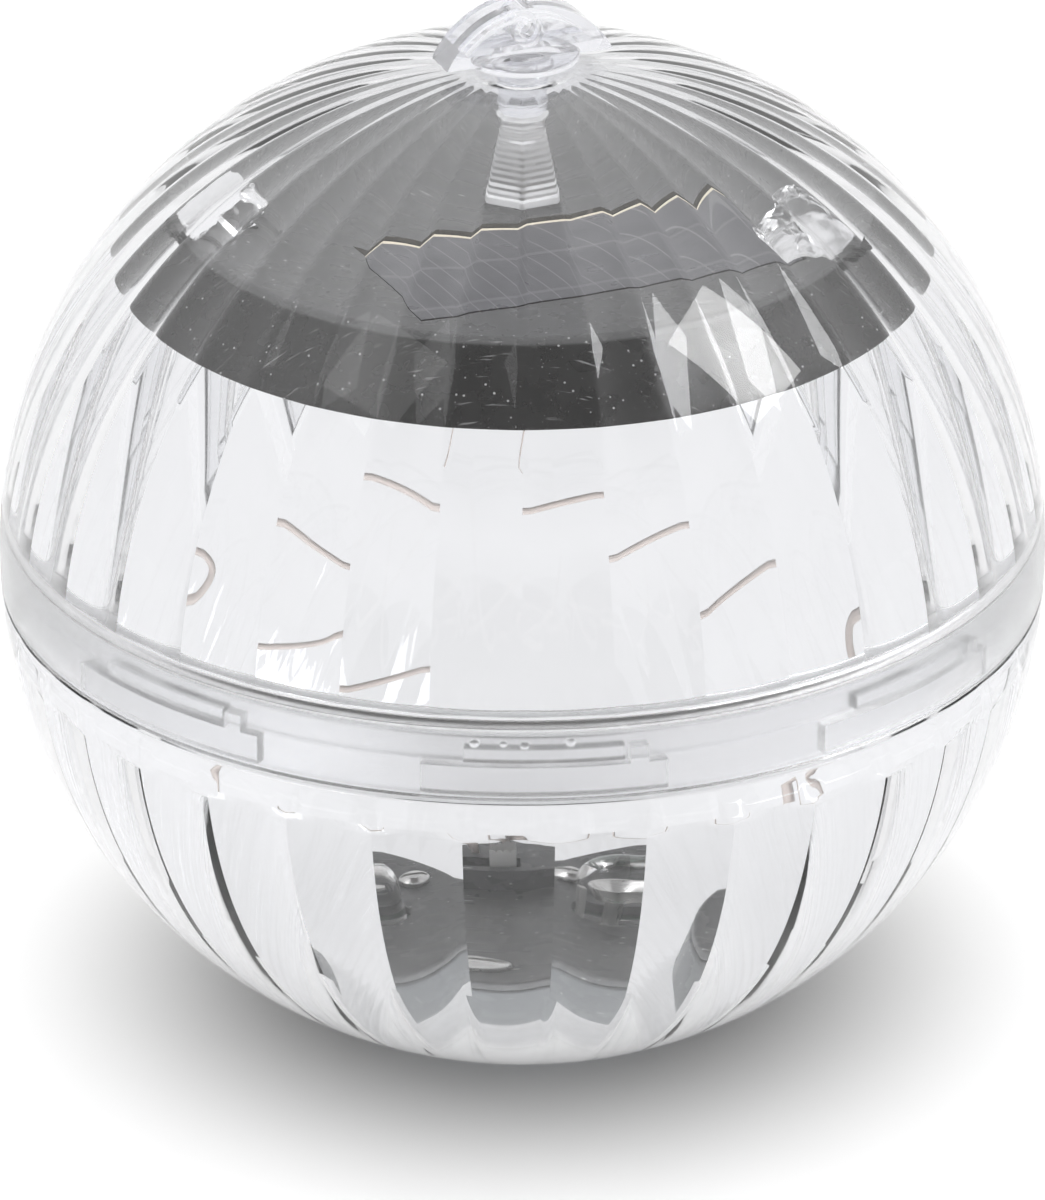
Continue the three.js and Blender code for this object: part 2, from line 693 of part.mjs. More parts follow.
function lead(side, bow) {
  const x = (side * LEAD_SPACING) / 2;
  const route = [
    [x, LEAD_TOP_Y, LEAD_PARTING - POST_GAP],
    [x, LEAD_TOP_Y, TRAY_BOTTOM - LEAD_DROP],
    ...bow,
    [x, LEAD_FOOT_Y, LED_TOP],
    [x, LEAD_FOOT_Y, LID_TOP + LEAD_RISE],
    [x, LEAD_FOOT_Y, boardFace + POST_GAP],
  ];
  const points = route.map((point) => new THREE.Vector3(...point));
  const path = new THREE.CatmullRomCurve3(points, false, "centripetal");
  const section = new THREE.Shape();
  section.absarc(0, 0, LEAD_RADIUS, 0, 2 * Math.PI, false);
  return new THREE.ExtrudeGeometry(section, {
    steps: Math.round(path.getLength() / LEAD_STEP),
    curveSegments: LEAD_SIDES / 2,
    extrudePath: path,
    bevelEnabled: false,
  });
}

function leadEnd(side) {
  const top = boardTop - BOARD_THICKNESS - POST_GAP;
  const x = (side * LEAD_SPACING) / 2;
  return disc(LEAD_RADIUS, LEAD_PARTING, top, x, LEAD_TOP_Y, LEAD_SIDES);
}

// ---------- Assembly ----------
const ball = new THREE.Group();
ball.position.z = CENTRE_HEIGHT;
const yawed = new THREE.Group();
yawed.rotation.z = YAW;
ball.add(yawed);

function place(parent, name, geometry, material) {
  const mesh = new THREE.Mesh(geometry, material);
  mesh.name = name;
  parent.add(mesh);
  return mesh;
}

place(ball, "upper_dome", upperDome(), clearPlastic);
place(ball, "lower_dome", lowerDome(), clearPlastic);
place(ball, "seal_ring", sealRing(), clearSilicone);
place(yawed, "hanger", hanger(), clearPlastic);
place(ball, "tray_post", trayPost(), clearPlastic);
place(ball, "post_screw", postScrew(), steel);
place(ball, "solar_tray", solarTray(), blackPlastic);
place(yawed, "panel_board", panelBoard(), creamBoard);
place(yawed, "solar_cell", solarCell(), cellBlue);
place(ball, "lamp_base", lampBase(), blackPlastic);
place(ball, "lamp_lid", lampLid(), blackPlastic);
place(ball, "lamp_board", lampBoard(), greenBoard);
place(ball, "led_left", led().translate(-LED_OFFSET, 0, 0), ledResin);
place(ball, "led_right", led().translate(LED_OFFSET, 0, 0), ledResin);
place(ball, "switch_body", switchBody(), blackPlastic);
place(ball, "switch_slider", switchSlider(), whitePlastic);
place(ball, "coin_cell", coinCell(), steel);
place(ball, "contact_lower", lowerContact(), steel);
place(ball, "contact_upper", upperContact(), steel);
place(ball, "driver_chip", underBoard(DRIVER_CHIP_SIZE), chipBlack);
place(ball, "charge_diode", underBoard(DIODE_SIZE).rotateZ(-Math.PI / 3), chipBlack);
place(ball, "boost_coil", coil(), chipBlack);
place(ball, "adhesive_pad", adhesivePad(), clearGlue);
place(ball, "glue_drop_left", glueDrop(THREE.MathUtils.degToRad(GLUE_LEFT)), clearGlue);
place(ball, "glue_drop_right", glueDrop(THREE.MathUtils.degToRad(GLUE_RIGHT)), clearGlue);
place(ball, "lead_left", lead(-1, leftBow), copperLead);
place(ball, "lead_right", lead(1, rightBow), copperLead);
place(ball, "lead_end_left", leadEnd(-1), copperLead);
place(ball, "lead_end_right", leadEnd(1), copperLead);
screwPlaces((x, y) => lidScrew().translate(x, y, 0)).forEach((screw, index) =>
  place(ball, `lid_screw_${index + 1}`, screw, steel),
);

const light = new THREE.Group();
light.name = "floating_pool_light";
light.add(ball);
export default light;
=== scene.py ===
"""Floating solar pool light: finished surfaces and materials, floor, lights and camera.

Sizes are in millimetres. A height named "level" is measured from the centre of the ball, and
TO_FRAME turns such points into the frame's metres.
"""

import math

import bmesh
import bpy
from mathutils import Matrix, Vector, noise


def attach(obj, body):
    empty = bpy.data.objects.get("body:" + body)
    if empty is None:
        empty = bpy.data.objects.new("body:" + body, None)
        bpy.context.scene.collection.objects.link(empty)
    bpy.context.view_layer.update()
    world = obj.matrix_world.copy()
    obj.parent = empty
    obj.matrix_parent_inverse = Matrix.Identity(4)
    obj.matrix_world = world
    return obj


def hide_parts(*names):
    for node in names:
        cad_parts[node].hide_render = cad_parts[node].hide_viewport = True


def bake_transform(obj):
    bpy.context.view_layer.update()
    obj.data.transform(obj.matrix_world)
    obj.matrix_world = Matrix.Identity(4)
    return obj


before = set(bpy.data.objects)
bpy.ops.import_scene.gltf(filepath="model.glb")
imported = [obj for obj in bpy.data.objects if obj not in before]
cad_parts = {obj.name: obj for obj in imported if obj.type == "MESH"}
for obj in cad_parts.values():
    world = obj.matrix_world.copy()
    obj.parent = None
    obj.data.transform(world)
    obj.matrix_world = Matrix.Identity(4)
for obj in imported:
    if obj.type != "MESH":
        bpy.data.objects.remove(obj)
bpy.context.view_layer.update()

# ---------- Frame ----------
MM = 0.001
BALL_RADIUS = 50
BASE_FLAT_RADIUS = 12
CENTRE_HEIGHT = math.sqrt(BALL_RADIUS**2 - BASE_FLAT_RADIUS**2)
TO_FRAME = Matrix.Scale(MM, 4) @ Matrix.Translation((0, 0, CENTRE_HEIGHT))

# ---------- Domes ----------
INNER_RADIUS = 48.2
RIB_COUNT = 36
RIB_STEPS = 10
RIB_DEPTH = 0.45
RIB_REFERENCE_RADIUS = 47
MERIDIAN_STEPS = 60
LOWER_RIB_PHASE = math.radians(3.5)
SKIRT_BOTTOM = -2
SKIRT_INNER_RADIUS = 48.6
SEAM_GAP = 0.3
LEDGE_BOTTOM = 4.8
LEDGE_TOP = 5.6
LEDGE_RADIUS = 46
POLE_HOLE_RADIUS = 2.6
POLE_SMOOTH_RADIUS = 5.4
POLE_STEP = 0.4
NECK_RADIUS = 47.2
NECK_INNER_RADIUS = 45.4
NECK_TOP = 3.4
NECK_SMOOTH_BOTTOM = -3
LOWER_RIB_TOP = -6.2
RIB_END_LENGTH = 0.7
EDGE_ROUND = 0.25
SEAL_CLEARANCE = 0.1
SEAM_FADE = 0.8

# ---------- Bayonet ----------
LUG_COUNT = 8
BLOCK_START = math.radians(-100.9)
BLOCK_SWEEP = math.radians(26.5)
BLOCK_TOP = 1
HOOK_SWEEP = math.radians(17.3)
HOOK_BOTTOM = 1.3
HOOK_TOP = 2.6
STOP_SWEEP = math.radians(2)
STOP_GAP = math.radians(0.5)
LUG_CLEARANCE = 0.3
LUG_ROOT = 0.3
LUG_ROUND = 0.12
BEAD_LEVEL = 1
BEAD_SIZE = 0.2

# ---------- Hanger and post ----------
YAW = math.radians(21.4)
FLANGE_RADIUS = 5.3
FLANGE_BOTTOM = 50.05
FLANGE_TOP = 50.75
STEM_RADIUS = 2.25
STEM_BOTTOM = 44.2
TAB_LENGTH = 16.5
TAB_HEIGHT = 5.2
TAB_THICKNESS = 4
TAB_ROOT = 0.2
TAB_RIM = 1.15
TAB_WEB = 1.2
TAB_ROUND = 0.3
EYE_RADIUS = 0.88
EYE_BOSS_RADIUS = 1.5
EYE_HEIGHT = 2.5
EYE_BOSS_RECESS = 0.3
EYE_BOSS_ROUND = 0.15
POST_TOP = 43.9
POST_BOTTOM = 35.7
POST_TOP_RADIUS = 2.2
POST_FOOT_RADIUS = 3
POST_RING = 0.7
POST_TOP_LIP = 0.25
POST_FOOT_LIP = 0.2
POST_ROUND = 0.12
POST_RIDGE_PITCH = 0.62
POST_RIDGE_HEIGHT = 0.05
POST_RIDGE_STEPS = 6
POST_BORE_RADIUS = 0.85
POST_BORE_DEPTH = 5.3

# ---------- Solar tray ----------
TRAY_BOTTOM = 29
TRAY_TOP = 35.4
TRAY_SPHERE_RADIUS = 47.45
TRAY_WALL = 1.65
TRAY_PLATE = 2.6
TRAY_BORE_RADIUS = 1
TRAY_ROUND = 0.3
# Grey wash on the tray's top face: partly dust, partly painted light standing in for the light the
# upward face catches
DUST_AND_LIGHT_GREY = 0.09
DUST_AND_LIGHT_EDGE = 0.2
DUST_AND_LIGHT_DEPTH = 0.4
PANEL_LENGTH = 37
PANEL_DEPTH = 18
PANEL_OFFSET = -13.8
PANEL_POCKET_GAP = 0.12
BOARD_THICKNESS = 1
BOARD_MARGIN = 1.2
CELL_THICKNESS = 0.3
THIN_GAP = 0.05
BOARD_TOP = TRAY_TOP - CELL_THICKNESS - 2 * THIN_GAP
LEAD_HOLE_RADIUS = 0.9
GLUE_ANGLES = {"left": math.radians(194), "right": math.radians(338)}
GLUE_HALF_SIZE = (5.5, 3.6, 4.4)
GLUE_INSET = 2.2
GLUE_LIFT = 1
GLUE_ROUGHNESS = 0.9
GLUE_SWELL = 0.28
GLUE_COARSE = 2.2
GLUE_FINE = 5
GLUE_FINE_SHARE = 0.5

# ---------- Lamp unit ----------
PUCK_RADIUS = 14.5
PUCK_BOTTOM = -46.2
PUCK_FOOT_RADIUS = 12
PUCK_FOOT_RISE = 1
PUCK_WALL = 1.2
PUCK_FLOOR = -45.3
PUCK_ROUND = 0.35
PUCK_CORNER_WIDTH = 1
PUCK_CORNER_HEIGHT = 0.5
LID_BOTTOM = -41.1
LID_TOP = -40.2
LID_HOLE_GAP = 0.3
BOARD_FACE = -41.45
LED_RADIUS = 2.45
LED_OFFSET = 6.5
LED_TOP = -34.2
LED_COLLAR = 1
LED_DOME_STEPS = 14
LED_CUP_TOP = -37.2
LED_CUP_FLOOR = -37.9
LED_CUP_BASE = -38.6
LED_CUP_RADIUS = 1.1
LED_CUP_MOUTH_RADIUS = 0.95
LED_CUP_BASE_RADIUS = 0.75
LED_CUP_FLOOR_RADIUS = 0.45
LED_LEG_RADIUS = 0.35
LED_LEG_BOTTOM = -41.2
LED_PIN_WIDTH = 0.5
LED_PIN_X = 1.45
LED_PIN_TOP = -37.6
SCREW_CIRCLE = 11.55
SCREW_HOLE_RADIUS = 0.8
SCREW_HEAD_RADIUS = 1.25
SCREW_HEAD_HEIGHT = 0.9
SCREW_CROWN_SHARE = 0.6
SCREW_CROWN_DROP = 0.08
SCREW_SIDE_DROP = 0.45
SCREW_SHANK_RADIUS = 0.55
SCREW_END = -44.4
SCREW_SLOT = 0.4
SWITCH_LENGTH = 8.4
SWITCH_DEPTH = 3.6
SWITCH_Y = 6
SWITCH_TOP = -38.2
SLOT_LENGTH = 4.4
SLOT_DEPTH = 1.8
SLOT_FLOOR = -39.4
SLIDER_LENGTH = 1.8
SLIDER_DEPTH = 1.4
SLIDER_BOTTOM = -39.1
SLIDER_TOP = -36.4
SLIDER_X = -1
GROOVE_WIDTH = 0.18
GROOVE_LENGTH = 2
GROOVE_DEPTH = 0.2
GROOVE_SPACING = 0.45

# ---------- Leads ----------
LEAD_RADIUS = 0.3
LEAD_SIDES = 12
LEAD_SPACING = 2.4
LEAD_TOP_Y = -14
LEAD_FOOT_Y = 10
LEAD_TOP = 33.7
LEAD_STEPS = 12
LEAD_DROP = 3
LEAD_RISE = 2
LEAD_FOOT_GAP = 0.3
LEFT_BOW = [
    (-3.5, -9, 20),
    (-6, 2, 8),
    (-12, 9, 1),
    (-20, 12, -6),
    (-27, 11, -9),
    (-25, 9, -14),
    (-17, 8, -17),
    (-9, 5, -21),
    (-2.5, -1, -27),
]
RIGHT_BOW = [
    (2, -8, 18),
    (-2, 4, 6),
    (-1, 11, 1),
    (8, 13, -4),
    (19, 13, -10),
    (27, 9, -14),
    (26, 5, -20),
    (16, 1, -24),
    (8, -4, -28),
]

# ---------- Seam droplets: (x, level, radius) on the front of the neck ----------
DROPLETS = [(-4.3, 3.0, 0.5), (-1.7, 3.0, 0.38), (0.2, 2.9, 0.48), (4.3, 3.1, 0.5)]
DROPLET_RADIUS_FROM_AXIS = 47.9

# ---------- Shared by all solids and materials ----------
SHARP_ANGLE = math.radians(20)
OVERSHOOT = 1  # how far a cutting solid reaches past what it cuts
NOISE_LOW = 0.3  # noise hardly ever leaves this range
NOISE_HIGH = 0.7
SPECK_CORE = 0.6  # share of a speck's size that has its full colour

# ---------- View and light ----------
VIEW_ELEVATION = math.radians(25.7)
VIEW_DISTANCE = 750
VIEW_DROP = 5.53
LENS = 234.7
SENSOR = 36
FLOOR_SIZE = 4000
TABLE_GLOW = 0.85
TABLE_BRIGHTNESS = 0.8
EVEN_LIGHTS = [("key", 86, 24, 3.0), ("fill", 70, 120, 0.65), ("bounce", -35, 60, 3.2)]
EVEN_LIGHT_DISTANCE = 3
SOFTBOX_DISTANCE = 1
SOFTBOXES = [
    ("right_softbox", -13, 47, 0.3, 0.4, 8.0),
    ("left_softbox", -142, 54, 0.34, 0.3, 1.0),
]
DIM_DIRECTION = (0, -0.5, 0.866)
WORLD_FADE = {"From Min": 0.8, "From Max": 0.92, "To Min": 0.95, "To Max": 0.35}
FLOOR_DROP = 0.05


# ---------- Mesh tools ----------
def sphere_level(radius, distance):
    """Height of a sphere's surface above its centre, at a distance from the axis."""
    return math.sqrt(radius**2 - distance**2)


def meridian(radius, from_level, to_level, ribbed=False, steps=MERIDIAN_STEPS):
    """Points (r, level, rib depth) of a sphere's section between two levels."""
    start, end = math.asin(from_level / radius), math.asin(to_level / radius)
    points = []
    for step in range(steps + 1):
        latitude = start + (end - start) * step / steps
        r = radius * math.cos(latitude)
        depth = RIB_DEPTH * (r / RIB_REFERENCE_RADIUS) ** 2 if ribbed else 0
        points.append((r, radius * math.sin(latitude), depth))
    return points


def turning(before, here, after):
    """Angle by which a section turns at a point."""
    into = Vector(here[:2]) - Vector(before[:2])
    out = Vector(after[:2]) - Vector(here[:2])
    return into.angle(out) if into.length > 1e-6 and out.length > 1e-6 else 0


def soften(section, radius, ring=False, steps=6):
    """The section with a small round in place of each sharp corner."""
    made = []
    count = len(section)
    for i, here in enumerate(section):
        if not ring and i in (0, count - 1):
            made.append(here)
            continue
        before, after = section[i - 1], section[(i + 1) % count]
        if turning(before, here, after) < SHARP_ANGLE:
            made.append(here)
            continue
        p0, p1, p2 = Vector(before), Vector(here), Vector(after)
        cut = min(radius, 0.45 * (p1 - p0).length, 0.45 * (p2 - p1).length)
        a = p1 + (p0 - p1).normalized() * cut
        b = p1 + (p2 - p1).normalized() * cut
        for step in range(steps + 1):
            t = step / steps
            made.append(tuple((1 - t) ** 2 * a + 2 * t * (1 - t) * p1 + t * t * b))
    return made


def crest(station):
    """Share of the rib depth at a station: 0 in the valleys, 1 on the crest."""
    u = (station % RIB_STEPS) / RIB_STEPS
    return 1 - (2 * u - 1) ** 2


def lathe(section, stations=96, phase=0, ring=False):
    """Turns a section of (r, level, rib depth) points about the ball's axis."""
    bm = bmesh.new()
    rows = []
    for station in range(stations):
        angle = phase + 2 * math.pi * station / stations
        row = []
        for r, level, depth in section:
            pull = 1 - depth * crest(station) / math.hypot(r, level) if depth else 1
            row.append(
                bm.verts.new((pull * r * math.cos(angle), pull * r * math.sin(angle), pull * level))
            )
        rows.append(row)
    count = len(section)
    for station in range(stations):
        here, there = rows[station], rows[(station + 1) % stations]
        for i in range(count if ring else count - 1):
            j = (i + 1) % count
            bm.faces.new((here[i], there[i], there[j], here[j]))
    bmesh.ops.remove_doubles(bm, verts=bm.verts, dist=1e-4)
    bmesh.ops.recalc_face_normals(bm, faces=bm.faces)
    return bm


def turned(profile, stations=96, edge=0.2, ring=False):
    """A plain turned solid from (r, level) points, with softened corners."""
    return lathe(soften([(r, level, 0) for r, level in profile], edge, ring), stations, 0, ring)


def prism(outline, low, high, edge=0):
    """Extrudes a convex outline of (x, y) points between two levels and rounds its edges."""
    bm = bmesh.new()
    bottom = [bm.verts.new((x, y, low)) for x, y in outline]
    top = [bm.verts.new((x, y, high)) for x, y in outline]
    bm.faces.new(bottom[::-1])
    bm.faces.new(top)
    for i, here in enumerate(bottom):
        j = (i + 1) % len(bottom)
        bm.faces.new((here, bottom[j], top[j], top[i]))
    if edge:
        rims = [e for e in bm.edges if e.calc_face_angle() > SHARP_ANGLE]
        bmesh.ops.bevel(bm, geom=rims, offset=edge, segments=4, profile=0.5, affect="EDGES")
    return bm


def rectangle(width, depth, x=0, y=0):
    a, b = width / 2, depth / 2
    return [(x - a, y - b), (x + a, y - b), (x + a, y + b), (x - a, y + b)]


def circle(radius, x=0, y=0, sides=32):
    turn = 2 * math.pi / sides
    return [(x + radius * math.cos(i * turn), y + radius * math.sin(i * turn)) for i in range(sides)]


def merged(solids):
    """One bmesh that holds several separate solids."""
    whole = bmesh.new()
    for bm in solids:
        mesh = bpy.data.meshes.new("part")
        bm.to_mesh(mesh)
        bm.free()
        whole.from_mesh(mesh)
        bpy.data.meshes.remove(mesh)
    return whole


def combine(operation, first, *others):
    """Boolean of the first solid with all the others."""
    objects = []
    for bm in (first, merged(others)):
        bmesh.ops.recalc_face_normals(bm, faces=bm.faces)
        mesh = bpy.data.meshes.new("work")
        bm.to_mesh(mesh)
        bm.free()
        obj = bpy.data.objects.new("work", mesh)
        bpy.context.scene.collection.objects.link(obj)
        objects.append(obj)
    modifier = objects[0].modifiers.new("boolean", "BOOLEAN")
    modifier.solver = "MANIFOLD"
    modifier.operation = operation
    modifier.object = objects[1]
    evaluated = objects[0].evaluated_get(bpy.context.evaluated_depsgraph_get())
    result = bmesh.new()
    result.from_mesh(evaluated.to_mesh())
    for obj in objects:
        mesh = obj.data
        bpy.data.objects.remove(obj)
        bpy.data.meshes.remove(mesh)
    return result


def join(*solids):
    return combine("UNION", *solids)


def cut(*solids):
    return combine("DIFFERENCE", *solids)


def rotated(bm, angle, axis="Z"):
    bm.transform(Matrix.Rotation(angle, 4, axis))
    return bm


def moved(bm, x, y, z):
    bm.transform(Matrix.Translation((x, y, z)))
    return bm


def around(count, make_one):
    return [make_one(2 * math.pi * i / count) for i in range(count)]


def add_piece(name, bm, material, body, replaces=(), clear=False, sharp=SHARP_ANGLE):
    """Puts a finished solid into the frame as a piece that rides on a body."""
    bmesh.ops.dissolve_degenerate(bm, dist=1e-5, edges=bm.edges)
    bmesh.ops.recalc_face_normals(bm, faces=bm.faces)
    for face in bm.faces:
        face.smooth = True
    for edge in bm.edges:
        edge.smooth = len(edge.link_faces) == 2 and edge.calc_face_angle() < sharp
    bm.transform(TO_FRAME)
    mesh = bpy.data.meshes.new(name)
    bm.to_mesh(mesh)
    bm.free()
    mesh.materials.append(material)
    obj = bpy.data.objects.new(name, mesh)
    bpy.context.scene.collection.objects.link(obj)
    if replaces:
        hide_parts(*replaces)
    if clear:
        let_light_through(obj)
    if body:
        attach(obj, body)
    return obj


def let_light_through(obj):
    """Lamps and bounced light pass the clear plastic, as they do through thin clear walls."""
    obj.visible_shadow = False
    obj.visible_diffuse = False


# ---------- Material tools ----------
class Finish:
    """A Principled material whose nodes read the object's own coordinates."""

    def __init__(self, name, **sockets):
        self.material = bpy.data.materials.new(name)
        self.material.use_nodes = True
        self.nodes = self.material.node_tree.nodes
        self.links = self.material.node_tree.links
        self.shader = self.nodes["Principled BSDF"]
        for socket, value in sockets.items():
            self.shader.inputs[socket.replace("_", " ")].default_value = value
        self.place = self.node("TexCoord").outputs["Object"]

    def node(self, kind, inputs=None, **settings):
        made = self.nodes.new("ShaderNode" + kind)
        for key, value in settings.items():
            setattr(made, key, value)
        for key, value in (inputs or {}).items():
            if isinstance(value, bpy.types.NodeSocket):
                self.links.new(value, made.inputs[key])
            else:
                made.inputs[key].default_value = value
        return made

    def turned_place(self, angle=0, scale=(1, 1, 1)):
        inputs = {"Vector": self.place, "Rotation": (0, 0, angle), "Scale": scale}
        return self.node("Mapping", inputs).outputs["Vector"]

    def noise(self, size, detail=4, place=None):
        """Noise with features about as big as size, in millimetres."""
        inputs = {"Vector": place or self.place, "Scale": 1 / (size * MM), "Detail": detail}
        return self.node("TexNoise", inputs).outputs["Fac"]

    def specks(self, spacing, size):
        """Small round spots: 1 inside a spot, 0 outside."""
        inputs = {"Vector": self.place, "Scale": 1 / (spacing * MM), "Randomness": 1}
        distance = self.node("TexVoronoi", inputs).outputs["Distance"]
        return self.ramped(distance, size / spacing, 0, 1, SPECK_CORE * size / spacing)

    def uneven(self, size, from_value, to_value):
        """A value that wanders between two limits, in patches about as big as size."""
        return self.ramped(self.noise(size), NOISE_LOW, from_value, to_value, NOISE_HIGH)

    def height(self):
        return self.node("SeparateXYZ", {"Vector": self.place}).outputs["Z"]

    def stripes(self, along, pitch, width):
        """Parallel lines across a coordinate: 1 on a line, 0 between."""
        share = self.math("FRACT", self.math("MULTIPLY", along, 1 / (pitch * MM)))
        return self.math("COMPARE", share, 0.5, width)

    def ramped(self, value, low, at_low, at_high, high):
        """Maps value from low..high onto at_low..at_high, clamped at both ends."""
        inputs = {
            "Value": value,
            "From Min": low,
            "From Max": high,
            "To Min": at_low,
            "To Max": at_high,
        }
        return self.node("MapRange", inputs).outputs["Result"]

    def math(self, operation, first, second=0.0, third=0.0):
        inputs = {0: first, 1: second, 2: third}
        return self.node("Math", inputs, operation=operation).outputs["Value"]

    def mix(self, factor, first, second):
        made = self.node("Mix", data_type="RGBA")
        for key, value in {"Factor": factor, "A": first, "B": second}.items():
            socket = next(s for s in made.inputs if s.name == key and s.enabled)
            if isinstance(value, bpy.types.NodeSocket):
                self.links.new(value, socket)
            else:
                socket.default_value = value
        return next(s for s in made.outputs if s.enabled)

    def drive(self, socket, value):
        self.links.new(value, self.shader.inputs[socket])
        return self

    def bump(self, height, distance, strength=1.0):
        inputs = {"Height": height, "Distance": distance * MM, "Strength": strength}
        return self.drive("Normal", self.node("Bump", inputs).outputs["Normal"])


def grey(value, alpha=1):
    return (value, value, value, alpha)


# ---------- Materials ----------
def clear_plastic(name, colour, rough_low, rough_high, wave, clarity=1.0, seam_frost=0.0):
    """Polished clear plastic with a faint moulding wave and slightly uneven gloss.

    Less than full clarity makes it cloudy; seam_frost is the extra roughness of the seam band.
    """
    finish = Finish(name, Base_Color=colour, IOR=1.49, Transmission_Weight=clarity)
    roughness = finish.uneven(9, rough_low, rough_high)
    if seam_frost:
        height = finish.height()
        low, high = ((level + CENTRE_HEIGHT) * MM for level in (SKIRT_BOTTOM, LEDGE_TOP))
        above = finish.ramped(height, low - SEAM_FADE * MM, 0, 1, low)
        below = finish.ramped(height, high, 1, 0, high + SEAM_FADE * MM)
        band = finish.math("MULTIPLY", above, below)
        roughness = finish.math("MULTIPLY_ADD", band, seam_frost, roughness)
    finish.drive("Roughness", roughness)
    return finish.bump(finish.noise(14, 1), wave).material


def black_plastic(name, colour, dust_colour, rough_low, rough_high, dust_and_light_level=None):
    """Moulded black plastic with fine dust, hairline scratches and uneven sheen.

    A thin grey film lies on whatever faces up above the level given: partly dust, partly painted light
    standing in for the light that falls on upward faces.
    """
    finish = Finish(name, IOR=1.5)
    dust = finish.specks(1.1, 0.13)
    fine_dust = finish.specks(0.45, 0.04)
    stretched = finish.turned_place(math.radians(35), (1, 14, 1))
    scratch = finish.ramped(finish.noise(3.5, 3, stretched), 0.66, 0, 0.5, 0.74)
    marks = finish.math("MAXIMUM", finish.math("MAXIMUM", dust, fine_dust), scratch)
    cloudy = finish.mix(finish.noise(6), colour, tuple(1.5 * c for c in colour[:3]) + (1,))
    # painted light: upward faces above the level are washed grey, partly dust, partly standing in for
    # the light they catch from above
    if dust_and_light_level is not None:
        edge = (dust_and_light_level + CENTRE_HEIGHT) * MM
        top_dust_and_light = finish.ramped(finish.height(), edge - DUST_AND_LIGHT_EDGE * MM, 0, 1, edge)
        cloudy = finish.mix(top_dust_and_light, cloudy, grey(DUST_AND_LIGHT_GREY))
    marks = finish.math("MULTIPLY", marks, 0.75)
    finish.drive("Base Color", finish.mix(marks, cloudy, dust_colour))
    finish.drive("Roughness", finish.uneven(2.5, rough_low, rough_high))
    return finish.bump(finish.noise(0.35, 5), 0.006).material


def solar_cell_finish():
    """Dark cell under clear resin, crossed by thin pale fingers and two faint bars."""
    finish = Finish("solar_cell", IOR=1.5, Coat_Weight=0.25, Coat_Roughness=0.12)
    along = finish.node("SeparateXYZ", {"Vector": finish.turned_place(-YAW)})
    fingers = finish.stripes(along.outputs["X"], 1.5, 0.03)
    bars = finish.math("MULTIPLY", finish.stripes(along.outputs["Y"], 8.2, 0.03), 0.5)
    lines = finish.math("MAXIMUM", fingers, bars)
    cell = finish.mix(finish.noise(5), (0.075, 0.074, 0.082, 1), (0.095, 0.094, 0.102, 1))
    finish.drive("Base Color", finish.mix(finish.math("MULTIPLY", lines, 0.3), cell, grey(0.4)))
    finish.drive("Roughness", finish.uneven(3, 0.25, 0.45))
    return finish.bump(finish.noise(1.2), 0.004).material


def laminate(name, colour, darker):
    """Circuit-board laminate with the weave of its glass cloth."""
    finish = Finish(name)
    weave = finish.noise(0.5, 6, finish.turned_place(-YAW, (1, 3, 1)))
    finish.drive("Base Color", finish.mix(weave, colour, darker))
    finish.drive("Roughness", finish.uneven(2, 0.45, 0.65))
    return finish.bump(weave, 0.01).material


def plated_steel():
    finish = Finish("plated_steel", Metallic=1.0)
    brushed = finish.noise(1.2, 5, finish.turned_place(0, (1, 12, 1)))
    finish.drive("Base Color", finish.mix(brushed, grey(0.62), (0.5, 0.49, 0.47, 1)))
    finish.drive("Roughness", finish.ramped(brushed, 0.2, 0.2, 0.42, 0.8))
    return finish.bump(brushed, 0.004).material


def soft_plastic(name, colour, darker, rough_low, rough_high, **sockets):
    """Opaque or cloudy moulded material with mild colour and gloss variation."""
    finish = Finish(name, **sockets)
    finish.drive("Base Color", finish.mix(finish.noise(2.5), colour, darker))
    finish.drive("Roughness", finish.uneven(1.5, rough_low, rough_high))
    return finish.bump(finish.noise(0.8), 0.012).material


DOME_PLASTIC = clear_plastic(
    "dome_plastic", (0.985, 0.988, 1, 1), 0.0, 0.035, 0.02, seam_frost=0.22
)
THICK_PLASTIC = clear_plastic(
    "thick_plastic", (0.95, 0.955, 0.99, 1), 0.03, 0.12, 0.03, clarity=0.92
)
POST_PLASTIC = clear_plastic(
    "post_plastic", (0.97, 0.97, 0.98, 1), 0.08, 0.2, 0.03, clarity=0.65
)
LED_RESIN = clear_plastic("led_resin", (0.99, 0.99, 0.985, 1), 0.0, 0.03, 0.01)
# Its top face gets the grey wash: partly dust, partly painted light on the upward face
TRAY_BLACK = black_plastic(
    "tray_black", (0.009, 0.0085, 0.008, 1), grey(0.5), 0.2, 0.36, TRAY_TOP - DUST_AND_LIGHT_DEPTH
)
LAMP_BLACK = black_plastic("lamp_black", (0.11, 0.112, 0.116, 1), grey(0.8), 0.18, 0.36)
